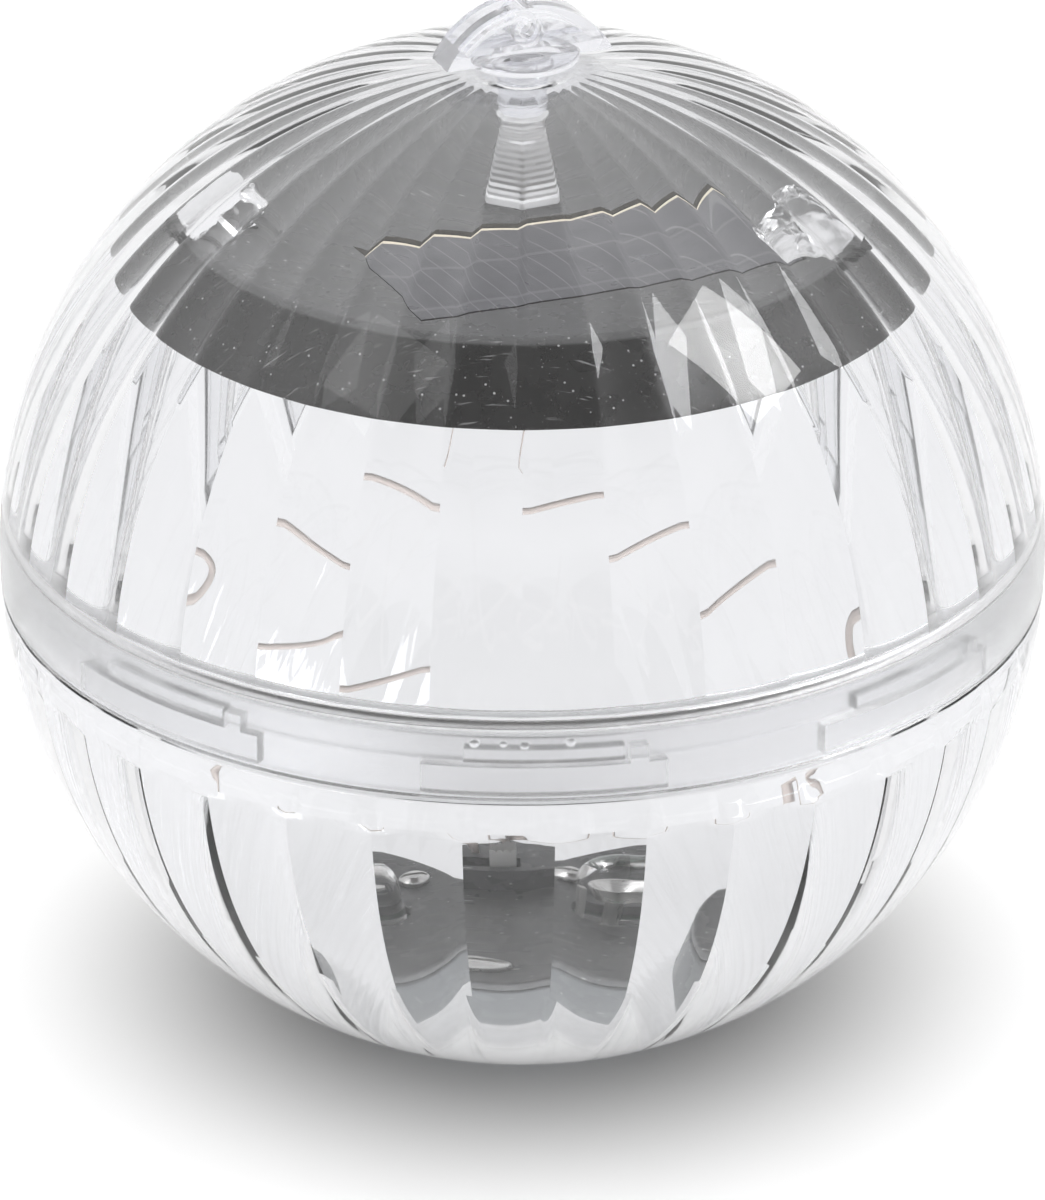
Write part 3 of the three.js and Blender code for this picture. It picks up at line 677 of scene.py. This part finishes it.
# The cup's side wall gets a lighter copy of the lid's black plastic: painted light, standing in for
# the bright floor reflected in the wall
LAMP_BLACK_PAINTED_LIT = black_plastic("lamp_black_painted_lit", (0.16, 0.17, 0.18, 1), grey(0.6), 0.18, 0.36)
CELL = solar_cell_finish()
CREAM_BOARD = laminate("cream_board", (0.86, 0.80, 0.68, 1), (0.72, 0.64, 0.50, 1))
GREEN_BOARD = laminate("green_board", (0.02, 0.13, 0.06, 1), (0.012, 0.08, 0.04, 1))
STEEL = plated_steel()
GLUE = soft_plastic(
    "clear_glue", grey(0.97), grey(0.88), 0.08, 0.22, IOR=1.48, Transmission_Weight=1.0
)
SILICONE = soft_plastic(
    "seal_silicone", grey(0.95), grey(0.88), 0.25, 0.4, IOR=1.41, Transmission_Weight=0.9
)
INSULATION = soft_plastic(
    "lead_insulation",
    (0.98, 0.90, 0.86, 1),
    (0.96, 0.85, 0.79, 1),
    0.3,
    0.45,
    IOR=1.45,
    Transmission_Weight=0.6,
)
CHIP_BLACK = soft_plastic("chip_black", grey(0.012), grey(0.02), 0.5, 0.7)
WHITE_PLASTIC = soft_plastic("white_plastic", grey(0.84), (0.78, 0.78, 0.75, 1), 0.3, 0.45)
WATER = clear_plastic("water_drop", grey(1), 0.0, 0.02, 0.01)


# ---------- Domes ----------
def arc_outline(inner, outer, start, sweep, steps=8):
    angles = [start + sweep * i / steps for i in range(steps + 1)]
    outside = [(outer * math.cos(a), outer * math.sin(a)) for a in angles]
    return outside + [(inner * math.cos(a), inner * math.sin(a)) for a in reversed(angles)]


def lug(inner, outer, start, sweep, low, high):
    """A block, hook or stop of the bayonet, curved round the seam."""
    return prism(arc_outline(inner, outer, start, sweep), low, high, LUG_ROUND)


def upper_dome():
    """The ribbed upper dome, with the bayonet's blocks and stops inside its skirt."""
    pole_outer = sphere_level(BALL_RADIUS, POLE_HOLE_RADIUS)
    pole_inner = sphere_level(INNER_RADIUS, POLE_SMOOTH_RADIUS)
    section = [
        *meridian(BALL_RADIUS, SKIRT_BOTTOM, pole_outer),
        (POLE_HOLE_RADIUS, pole_inner, 0),
        (POLE_SMOOTH_RADIUS - POLE_STEP, pole_inner, 0),
        *meridian(INNER_RADIUS, pole_inner, LEDGE_TOP, ribbed=True),
        (LEDGE_RADIUS, LEDGE_TOP, 0),
        (LEDGE_RADIUS, LEDGE_BOTTOM, 0),
        (SKIRT_INNER_RADIUS, LEDGE_BOTTOM, 0),
        (SKIRT_INNER_RADIUS, SKIRT_BOTTOM, 0),
    ]
    dome = lathe(soften(section, EDGE_ROUND, ring=True), RIB_COUNT * RIB_STEPS, 0, ring=True)
    inner = NECK_RADIUS + LUG_CLEARANCE
    outer = (SKIRT_INNER_RADIUS + sphere_level(BALL_RADIUS, SKIRT_BOTTOM)) / 2
    bottom = SKIRT_BOTTOM + EDGE_ROUND
    blocks = around(
        LUG_COUNT,
        lambda turn: lug(inner, outer, BLOCK_START + turn, BLOCK_SWEEP, bottom, BLOCK_TOP),
    )
    stop_start = BLOCK_START + (BLOCK_SWEEP + HOOK_SWEEP) / 2 + STOP_GAP
    stops = around(
        LUG_COUNT,
        lambda turn: lug(
            inner, outer, stop_start + turn, STOP_SWEEP, BLOCK_TOP - 2 * LUG_ROOT, HOOK_TOP
        ),
    )
    return join(join(dome, *blocks), *stops)


def lower_dome():
    """The ribbed lower dome, with the bayonet's hooks on its neck."""
    neck_bottom = SKIRT_BOTTOM - SEAM_GAP
    floor = -sphere_level(INNER_RADIUS, BASE_FLAT_RADIUS)
    crest_radius = sphere_level(INNER_RADIUS, LOWER_RIB_TOP) - RIB_DEPTH
    section = [
        (0, -CENTRE_HEIGHT, 0),
        *meridian(BALL_RADIUS, -CENTRE_HEIGHT, neck_bottom),
        (NECK_RADIUS, neck_bottom, 0),
        (NECK_RADIUS, BEAD_LEVEL - BEAD_SIZE, 0),
        (NECK_RADIUS + BEAD_SIZE, BEAD_LEVEL, 0),
        (NECK_RADIUS, BEAD_LEVEL + BEAD_SIZE, 0),
        (NECK_RADIUS, NECK_TOP, 0),
        (NECK_INNER_RADIUS, NECK_TOP, 0),
        (NECK_INNER_RADIUS, NECK_SMOOTH_BOTTOM, 0),
        (crest_radius, LOWER_RIB_TOP, 0),
        *meridian(INNER_RADIUS, LOWER_RIB_TOP - RIB_END_LENGTH, floor, ribbed=True),
        (0, floor, 0),
    ]
    dome = lathe(soften(section, EDGE_ROUND), RIB_COUNT * RIB_STEPS, LOWER_RIB_PHASE)
    hook_start = BLOCK_START + (BLOCK_SWEEP - HOOK_SWEEP) / 2
    inner, outer = NECK_RADIUS - LUG_ROOT, SKIRT_INNER_RADIUS - LUG_CLEARANCE
    hooks = around(
        LUG_COUNT,
        lambda turn: lug(inner, outer, hook_start + turn, HOOK_SWEEP, HOOK_BOTTOM, HOOK_TOP),
    )
    return join(dome, *hooks)


def seal_ring():
    low, high = NECK_TOP + SEAL_CLEARANCE, LEDGE_BOTTOM - SEAL_CLEARANCE
    inner, outer = NECK_INNER_RADIUS + SEAL_CLEARANCE, NECK_RADIUS - SEAL_CLEARANCE
    profile = [(outer, high), (outer, low), (inner, low), (inner, high)]
    return turned(profile, 180, 0.5, ring=True)


def droplets():
    """Water caught between the neck and the skirt."""
    drops = []
    for x, level, radius in DROPLETS:
        drop = bmesh.new()
        bmesh.ops.create_icosphere(drop, subdivisions=4, radius=radius)
        drop.transform(Matrix.Diagonal((1, 0.9, 0.85, 1)))
        y = -math.sqrt(DROPLET_RADIUS_FROM_AXIS**2 - x**2)
        drops.append(moved(drop, x, y, level))
    return merged(drops)


# ---------- Hanger and post ----------
def segment_outline(inset, steps=40):
    """A circle segment standing on its chord, as (along, up) points."""
    radius = (TAB_LENGTH**2 / 4 + TAB_HEIGHT**2) / (2 * TAB_HEIGHT)
    centre = TAB_HEIGHT - radius
    half = math.acos((inset - centre) / (radius - inset))
    angles = [math.pi / 2 - half + 2 * half * i / steps for i in range(steps + 1)]
    return [
        ((radius - inset) * math.cos(a), centre + (radius - inset) * math.sin(a)) for a in angles
    ]


def standing(bm):
    """Turns a solid drawn flat so that it stands on the flange, across Y."""
    return moved(rotated(bm, math.pi / 2, "X"), 0, 0, FLANGE_TOP - TAB_ROOT)


def hanger():
    """The half-round tab with its cord eye, on a flange with a stem."""
    half = TAB_THICKNESS / 2
    outline, panel = segment_outline(0), segment_outline(TAB_RIM)
    eye_level = EYE_HEIGHT + TAB_ROOT
    web = cut(
        prism(outline, -half, half, TAB_ROUND),
        prism(panel, -half - OVERSHOOT, -TAB_WEB / 2),
        prism(panel, TAB_WEB / 2, half + OVERSHOOT),
    )
    face = half - EYE_BOSS_RECESS
    boss = prism(circle(EYE_BOSS_RADIUS, 0, eye_level), -face, face, EYE_BOSS_ROUND)
    eye = prism(circle(EYE_RADIUS, 0, eye_level), -half - OVERSHOOT, half + OVERSHOOT)
    tab = standing(cut(join(web, boss), eye))
    flange = turned(
        [
            (0, FLANGE_TOP),
            (FLANGE_RADIUS, FLANGE_TOP),
            (FLANGE_RADIUS, FLANGE_BOTTOM),
            (0, FLANGE_BOTTOM),
        ]
    )
    stem_top = FLANGE_BOTTOM + LUG_ROOT
    stem = turned(
        [(0, stem_top), (STEM_RADIUS, stem_top), (STEM_RADIUS, STEM_BOTTOM), (0, STEM_BOTTOM)]
    )
    return rotated(join(join(flange, stem), tab), YAW)


def post():
    """The clear post between the hanger's stem and the tray, finely ridged along its height."""
    profile = [(0, POST_TOP), (POST_TOP_RADIUS + POST_TOP_LIP, POST_TOP)]
    profile.append((POST_TOP_RADIUS + POST_TOP_LIP, POST_TOP - POST_RING))
    low, high = POST_BOTTOM + POST_RING, POST_TOP - POST_RING
    steps = int((high - low) / POST_RIDGE_PITCH * POST_RIDGE_STEPS)
    for step in range(1, steps):
        share = step / steps
        level = high + (low - high) * share
        ridge = POST_RIDGE_HEIGHT * math.sin(2 * math.pi * (high - level) / POST_RIDGE_PITCH)
        plain = POST_TOP_RADIUS + (POST_FOOT_RADIUS - POST_TOP_RADIUS) * share
        profile.append((plain + ridge, level))
    bore_top = POST_BOTTOM + POST_BORE_DEPTH
    profile += [
        (POST_FOOT_RADIUS + POST_FOOT_LIP, low),
        (POST_FOOT_RADIUS + POST_FOOT_LIP, POST_BOTTOM),
        (POST_BORE_RADIUS, POST_BOTTOM),
        (POST_BORE_RADIUS, bore_top),
        (0, bore_top),
    ]
    return turned(profile, 64, POST_ROUND)


# ---------- Solar tray ----------
def solar_tray():
    inner_sphere = TRAY_SPHERE_RADIUS - TRAY_WALL
    plate_bottom = TRAY_TOP - TRAY_PLATE
    rim = meridian(TRAY_SPHERE_RADIUS, TRAY_TOP, TRAY_BOTTOM, steps=12)
    section = [
        (TRAY_BORE_RADIUS, TRAY_TOP, 0),
        *rim,
        (sphere_level(inner_sphere, TRAY_BOTTOM), TRAY_BOTTOM, 0),
        (sphere_level(inner_sphere, plate_bottom), plate_bottom, 0),
        (TRAY_BORE_RADIUS, plate_bottom, 0),
    ]
    tray = lathe(soften(section, TRAY_ROUND, ring=True), 180, 0, ring=True)
    pocket_floor = BOARD_TOP - BOARD_THICKNESS - 2 * THIN_GAP
    gaps = 2 * PANEL_POCKET_GAP
    pocket_outline = rectangle(PANEL_LENGTH + gaps, PANEL_DEPTH + gaps, 0, PANEL_OFFSET)
    pocket = prism(pocket_outline, pocket_floor, TRAY_TOP + OVERSHOOT)
    holes = [
        prism(circle(LEAD_HOLE_RADIUS, side * LEAD_SPACING / 2, LEAD_TOP_Y), TRAY_BOTTOM, TRAY_TOP)
        for side in (-1, 1)
    ]
    return cut(cut(tray, rotated(pocket, YAW)), *holes)


def panel_board():
    outline = rectangle(PANEL_LENGTH, PANEL_DEPTH, 0, PANEL_OFFSET)
    return rotated(prism(outline, BOARD_TOP - BOARD_THICKNESS, BOARD_TOP, 0.12), YAW)


def solar_cell():
    depth = PANEL_DEPTH - BOARD_MARGIN * 1.25
    outline = rectangle(PANEL_LENGTH - THIN_GAP, depth, 0, PANEL_OFFSET - BOARD_MARGIN * 3 / 8)
    low = BOARD_TOP + THIN_GAP
    return rotated(prism(outline, low, low + CELL_THICKNESS, 0.08), YAW)


def glue_drop(angle):
    """A lumpy drop of clear glue between the tray's top edge and the dome."""
    bm = bmesh.new()
    bmesh.ops.create_icosphere(bm, subdivisions=5, radius=1)
    tray_edge = sphere_level(TRAY_SPHERE_RADIUS, TRAY_TOP)
    middle = Vector((tray_edge - GLUE_INSET, 0, TRAY_TOP + GLUE_LIFT))
    for vertex in bm.verts:
        direction = vertex.co.normalized()
        lump = noise.noise(direction * GLUE_COARSE + Vector((angle, 0, 0)))
        lump += GLUE_FINE_SHARE * noise.noise(direction * GLUE_FINE + Vector((0, angle, 0)))
        swollen = Vector(d * s for d, s in zip(direction, GLUE_HALF_SIZE))
        point = middle + swollen * (1 + GLUE_SWELL * GLUE_ROUGHNESS * lump)
        reach = point.length
        if reach > TRAY_SPHERE_RADIUS:
            point *= TRAY_SPHERE_RADIUS / reach
        point.z = max(point.z, TRAY_TOP + THIN_GAP)
        vertex.co = point
    return rotated(bm, angle)


# ---------- Lamp unit ----------
def screw_places():
    angles = [math.radians(30 + 120 * i) for i in range(3)]
    return [(SCREW_CIRCLE * math.cos(a), SCREW_CIRCLE * math.sin(a)) for a in angles]


def lamp_base():
    top = LID_BOTTOM - THIN_GAP
    inner = PUCK_RADIUS - PUCK_WALL
    profile = [
        (0, PUCK_FLOOR),
        (inner - PUCK_CORNER_WIDTH, PUCK_FLOOR),
        (inner, PUCK_FLOOR + PUCK_CORNER_HEIGHT),
        (inner, top),
        (PUCK_RADIUS, top),
        (PUCK_RADIUS, PUCK_BOTTOM + PUCK_FOOT_RISE),
        (PUCK_FOOT_RADIUS, PUCK_BOTTOM),
        (0, PUCK_BOTTOM),
    ]
    return turned(profile, 120, PUCK_ROUND)


def lamp_lid():
    profile = [(0, LID_TOP), (PUCK_RADIUS, LID_TOP), (PUCK_RADIUS, LID_BOTTOM), (0, LID_BOTTOM)]
    plate = turned(profile, 120, PUCK_ROUND)
    span = (LID_BOTTOM - OVERSHOOT, LID_TOP + OVERSHOOT)
    holes = [
        prism(circle(LED_RADIUS + LID_HOLE_GAP, side * LED_OFFSET), *span) for side in (-1, 1)
    ]
    holes += [
        prism(circle(LEAD_HOLE_RADIUS, side * LEAD_SPACING / 2, LEAD_FOOT_Y), *span)
        for side in (-1, 1)
    ]
    gaps = 2 * LID_HOLE_GAP
    window = rectangle(SWITCH_LENGTH + gaps, SWITCH_DEPTH + gaps, 0, SWITCH_Y)
    holes.append(prism(window, *span))
    holes += [prism(circle(SCREW_HOLE_RADIUS, x, y), *span) for x, y in screw_places()]
    return cut(plate, *holes)


def lid_screw(x, y):
    low = LID_TOP + THIN_GAP
    high = low + SCREW_HEAD_HEIGHT
    profile = [
        (0, high),
        (SCREW_HEAD_RADIUS * SCREW_CROWN_SHARE, high - SCREW_CROWN_DROP),
        (SCREW_HEAD_RADIUS, high - SCREW_SIDE_DROP),
        (SCREW_HEAD_RADIUS, low),
        (SCREW_SHANK_RADIUS, low),
        (SCREW_SHANK_RADIUS, SCREW_END),
        (0, SCREW_END),
    ]
    slot = prism(rectangle(2 * SCREW_HEAD_RADIUS, SCREW_SLOT), high - SCREW_SLOT, high + OVERSHOOT)
    return moved(cut(turned(profile, 32, 0.1), slot), x, y, 0)


def led_body(x):
    shoulder = LED_TOP - LED_RADIUS
    profile = [
        (LED_RADIUS * math.cos(a), shoulder + LED_RADIUS * math.sin(a))
        for a in (math.pi / 2 * (1 - i / LED_DOME_STEPS) for i in range(LED_DOME_STEPS + 1))
    ]
    profile[0] = (0, LED_TOP)
    profile += [(LED_RADIUS, BOARD_FACE + LED_COLLAR), (LED_RADIUS, BOARD_FACE), (0, BOARD_FACE)]
    return moved(turned(profile, 48, 0.15), x, 0, 0)


def led_frame(x):
    """The metal cup and pin that are cast into the lamp's clear resin."""
    profile = [
        (0, LED_CUP_FLOOR),
        (LED_CUP_FLOOR_RADIUS, LED_CUP_FLOOR),
        (LED_CUP_MOUTH_RADIUS, LED_CUP_TOP),
        (LED_CUP_RADIUS, LED_CUP_TOP),
        (LED_CUP_BASE_RADIUS, LED_CUP_BASE),
        (LED_LEG_RADIUS, LED_CUP_BASE),
        (LED_LEG_RADIUS, LED_LEG_BOTTOM),
        (0, LED_LEG_BOTTOM),
    ]
    pin = prism(
        rectangle(LED_PIN_WIDTH, LED_PIN_WIDTH, LED_PIN_X, 0), LED_LEG_BOTTOM, LED_PIN_TOP, 0.06
    )
    return moved(merged([turned(profile, 32, 0.05), pin]), x, 0, 0)


def switch_body():
    outline = rectangle(SWITCH_LENGTH, SWITCH_DEPTH, 0, SWITCH_Y)
    slot = rectangle(SLOT_LENGTH, SLOT_DEPTH, 0, SWITCH_Y)
    body = prism(outline, BOARD_FACE, SWITCH_TOP, 0.15)
    return cut(body, prism(slot, SLOT_FLOOR, SWITCH_TOP + OVERSHOOT))


def switch_slider():
    """The little lever, with three grip grooves across its top."""
    outline = rectangle(SLIDER_LENGTH, SLIDER_DEPTH, SLIDER_X, SWITCH_Y)
    body = prism(outline, SLIDER_BOTTOM, SLIDER_TOP, 0.12)
    grooves = [
        prism(
            rectangle(GROOVE_WIDTH, GROOVE_LENGTH, SLIDER_X + x, SWITCH_Y),
            SLIDER_TOP - GROOVE_DEPTH,
            SLIDER_TOP + OVERSHOOT,
        )
        for x in (-GROOVE_SPACING, 0, GROOVE_SPACING)
    ]
    return cut(body, *grooves)


# ---------- Leads ----------
def spline(points, steps):
    """A centripetal Catmull-Rom curve through the points."""
    knots = [Vector(p) for p in points]
    knots = [2 * knots[0] - knots[1], *knots, 2 * knots[-1] - knots[-2]]
    path = []
    for p0, p1, p2, p3 in zip(knots, knots[1:], knots[2:], knots[3:]):
        gaps = [math.sqrt((b - a).length) for a, b in ((p0, p1), (p1, p2), (p2, p3))]
        d0, d1, d2 = gaps
        t1 = ((p1 - p0) / d0 - (p2 - p0) / (d0 + d1) + (p2 - p1) / d1) * d1
        t2 = ((p2 - p1) / d1 - (p3 - p1) / (d1 + d2) + (p3 - p2) / d2) * d1
        for step in range(steps):
            t = step / steps
            c2 = -3 * p1 + 3 * p2 - 2 * t1 - t2
            c3 = 2 * p1 - 2 * p2 + t1 + t2
            path.append(p1 + t1 * t + c2 * t**2 + c3 * t**3)
    path.append(knots[-2])
    return path


def tube(path, radius, sides):
    """A closed round tube along a path, with frames carried along it without twist."""
    bm = bmesh.new()
    side = Vector((1, 0, 0))
    rows = []
    for i, point in enumerate(path):
        ahead = path[min(i + 1, len(path) - 1)] - path[max(i - 1, 0)]
        ahead.normalize()
        side = (side - side.dot(ahead) * ahead).normalized()
        other = ahead.cross(side)
        angles = [2 * math.pi * k / sides for k in range(sides)]
        rows.append(
            [bm.verts.new(point + radius * (math.cos(a) * side + math.sin(a) * other)) for a in angles]
        )
    for here, there in zip(rows, rows[1:]):
        for k in range(sides):
            j = (k + 1) % sides
            bm.faces.new((here[k], here[j], there[j], there[k]))
    bm.faces.new(rows[0][::-1])
    bm.faces.new(rows[-1])
    return bm


def lead(side, bow):
    """One lead, from the panel down round the ball's inside to the lamp unit's board."""
    x = side * LEAD_SPACING / 2
    points = [
        (x, LEAD_TOP_Y, LEAD_TOP),
        (x, LEAD_TOP_Y, TRAY_BOTTOM - LEAD_DROP),
        *bow,
        (x, LEAD_FOOT_Y, LED_TOP),
        (x, LEAD_FOOT_Y, LID_TOP + LEAD_RISE),
        (x, LEAD_FOOT_Y, BOARD_FACE + LEAD_FOOT_GAP),
    ]
    return tube(spline(points, LEAD_STEPS), LEAD_RADIUS, LEAD_SIDES)


# ---------- Pieces ----------
def make_pieces():
    add_piece(
        "upper_shell", upper_dome(), DOME_PLASTIC, "upper", ["upper_dome"], True
    )
    add_piece(
        "lower_shell", lower_dome(), DOME_PLASTIC, "lower", ["lower_dome"], True
    )
    add_piece("seal", seal_ring(), SILICONE, "lower", ["seal_ring"], True)
    add_piece("seam_droplets", droplets(), WATER, "lower", (), True)
    add_piece("hanging_tab", hanger(), THICK_PLASTIC, "upper", ["hanger"], True)
    add_piece("clear_post", post(), POST_PLASTIC, "upper", ["tray_post"], True)
    add_piece("tray", solar_tray(), TRAY_BLACK, "upper", ["solar_tray"])
    add_piece("panel", panel_board(), CREAM_BOARD, "upper", ["panel_board"])
    add_piece("cell", solar_cell(), CELL, "upper", ["solar_cell"])
    for side, angle in GLUE_ANGLES.items():
        name = "glue_" + side
        add_piece(name, glue_drop(angle), GLUE, "upper", ["glue_drop_" + side], True)
    # The cup's lighter black plastic is painted light: the bright floor's reflection in its side wall
    add_piece("lamp_cup", lamp_base(), LAMP_BLACK_PAINTED_LIT, "lower", ["lamp_base"])
    add_piece("lamp_cover", lamp_lid(), LAMP_BLACK, "lower", ["lamp_lid"])
    for index, (x, y) in enumerate(screw_places(), 1):
        node = f"lid_screw_{index}"
        add_piece(f"cover_screw_{index}", lid_screw(x, y), STEEL, "lower", [node])
    for name, x in (("left", -LED_OFFSET), ("right", LED_OFFSET)):
        node = "led_" + name
        add_piece("lamp_" + name, led_body(x), LED_RESIN, "lower", [node], True)
        add_piece("lamp_frame_" + name, led_frame(x), STEEL, "lower")
    add_piece("switch_case", switch_body(), LAMP_BLACK, "lower", ["switch_body"])
    add_piece(
        "switch_lever", switch_slider(), WHITE_PLASTIC, "slider", ["switch_slider"]
    )
    for side, sign, bow in (("left", -1, LEFT_BOW), ("right", 1, RIGHT_BOW)):
        piece = add_piece(
            "wire_" + side,
            lead(sign, bow),
            INSULATION,
            None,
            ["lead_" + side, "lead_end_" + side],
        )
        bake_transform(piece)


def finish_cad_nodes():
    """Materials for the hidden pieces of the lamp unit, which keep their CAD shapes."""
    finishes = {
        "lamp_board": GREEN_BOARD,
        "coin_cell": STEEL,
        "contact_lower": STEEL,
        "contact_upper": STEEL,
        "post_screw": STEEL,
        "driver_chip": CHIP_BLACK,
        "charge_diode": CHIP_BLACK,
        "boost_coil": CHIP_BLACK,
        "adhesive_pad": GLUE,
    }
    for name, material in finishes.items():
        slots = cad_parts[name].data.materials
        slots.clear()
        slots.append(material)


# ---------- Stage ----------
def floor():
    """A pale floor that glows behind clear plastic, like a back-lit studio table."""
    finish = Finish("studio_floor", Emission_Color=grey(TABLE_BRIGHTNESS))
    through = finish.node("LightPath").outputs["Is Transmission Ray"]
    glow = finish.math("MULTIPLY", through, TABLE_GLOW)
    pale = finish.mix(finish.noise(60), grey(0.93), grey(0.95))
    finish.drive("Base Color", finish.mix(glow, pale, grey(0)))
    finish.drive("Roughness", finish.uneven(20, 0.6, 0.8))
    finish.drive("Emission Strength", glow)
    half = FLOOR_SIZE / 2 * MM
    mesh = bpy.data.meshes.new("floor")
    corners = [(-half, -half), (half, -half), (half, half), (-half, half)]
    mesh.from_pydata([(x, y, -FLOOR_DROP * MM) for x, y in corners], [], [(0, 1, 2, 3)])
    mesh.materials.append(finish.material)
    obj = bpy.data.objects.new("floor", mesh)
    bpy.context.scene.collection.objects.link(obj)
    obj.visible_shadow = False


def aimed(name, data, azimuth, elevation, distance):
    """A lamp in a direction from the ball, facing it."""
    lamp = bpy.data.objects.new(name, data)
    a, e = math.radians(azimuth), math.radians(elevation)
    towards = Vector((math.cos(a) * math.cos(e), math.sin(a) * math.cos(e), math.sin(e)))
    lamp.location = TO_FRAME @ Vector((0, 0, 0)) + towards * distance
    lamp.rotation_euler = towards.to_track_quat("Z", "Y").to_euler()
    lamp.visible_camera = False
    bpy.context.scene.collection.objects.link(lamp)
    return lamp


def softbox(name, azimuth, elevation, width, height, radiance):
    """An area lamp, given by how bright its face looks."""
    data = bpy.data.lights.new(name, "AREA")
    data.shape = "RECTANGLE"
    data.size, data.size_y = width, height
    data.energy = radiance * math.pi * width * height
    return aimed(name, data, azimuth, elevation, SOFTBOX_DISTANCE)


def even_light(name, elevation, angle, strength):
    """Even light from in front, or from below the floor, that shows in no reflection.

    The wider its angle, the softer it is.
    """
    data = bpy.data.lights.new(name, "SUN")
    data.angle = math.radians(angle)
    data.energy = strength
    lamp = aimed(name, data, -90, elevation, EVEN_LIGHT_DISTANCE)
    lamp.visible_glossy = False
    lamp.visible_transmission = False


def studio_world():
    """White walls and ceiling all round, with one dim patch high in front."""
    world = bpy.data.worlds.new("studio")
    world.use_nodes = True
    nodes, links = world.node_tree.nodes, world.node_tree.links
    place = nodes.new("ShaderNodeTexCoord")
    facing = nodes.new("ShaderNodeVectorMath")
    facing.operation = "DOT_PRODUCT"
    facing.inputs[1].default_value = DIM_DIRECTION
    fade = nodes.new("ShaderNodeMapRange")
    for name, value in WORLD_FADE.items():
        fade.inputs[name].default_value = value
    links.new(place.outputs["Generated"], facing.inputs[0])
    links.new(facing.outputs["Value"], fade.inputs["Value"])
    links.new(fade.outputs["Result"], nodes["Background"].inputs["Strength"])
    nodes["Background"].inputs["Color"].default_value = grey(1)
    world.cycles_visibility.diffuse = False
    bpy.context.scene.world = world


def lights():
    """Everything that lights the ball. The softboxes show only as reflections."""
    studio_world()
    for name, elevation, angle, strength in EVEN_LIGHTS:
        even_light(name, elevation, angle, strength)
    for name, azimuth, elevation, width, height, radiance in SOFTBOXES:
        softbox(name, azimuth, elevation, width, height, radiance).visible_diffuse = False


def camera():
    data = bpy.data.cameras.new("camera")
    data.lens = LENS
    data.sensor_width = SENSOR
    data.sensor_fit = "AUTO"
    data.clip_start, data.clip_end = 0.01, 100
    cam = bpy.data.objects.new("camera", data)
    back = Vector((0, -math.cos(VIEW_ELEVATION), math.sin(VIEW_ELEVATION)))
    up = Vector((0, math.sin(VIEW_ELEVATION), math.cos(VIEW_ELEVATION)))
    cam.location = TO_FRAME @ (VIEW_DISTANCE * back)
    target = TO_FRAME @ (-VIEW_DROP * up)
    cam.rotation_euler = (cam.location - target).to_track_quat("Z", "Y").to_euler()
    bpy.context.scene.collection.objects.link(cam)
    bpy.context.scene.camera = cam


def render_look():
    scene = bpy.context.scene
    scene.view_settings.view_transform = "Standard"
    scene.cycles.max_bounces = 32
    scene.cycles.transmission_bounces = 28
    scene.cycles.glossy_bounces = 12
    scene.cycles.transparent_max_bounces = 16
    scene.cycles.caustics_reflective = False
    scene.cycles.caustics_refractive = False


camera()
lights()
floor()
make_pieces()
finish_cad_nodes()
render_look()
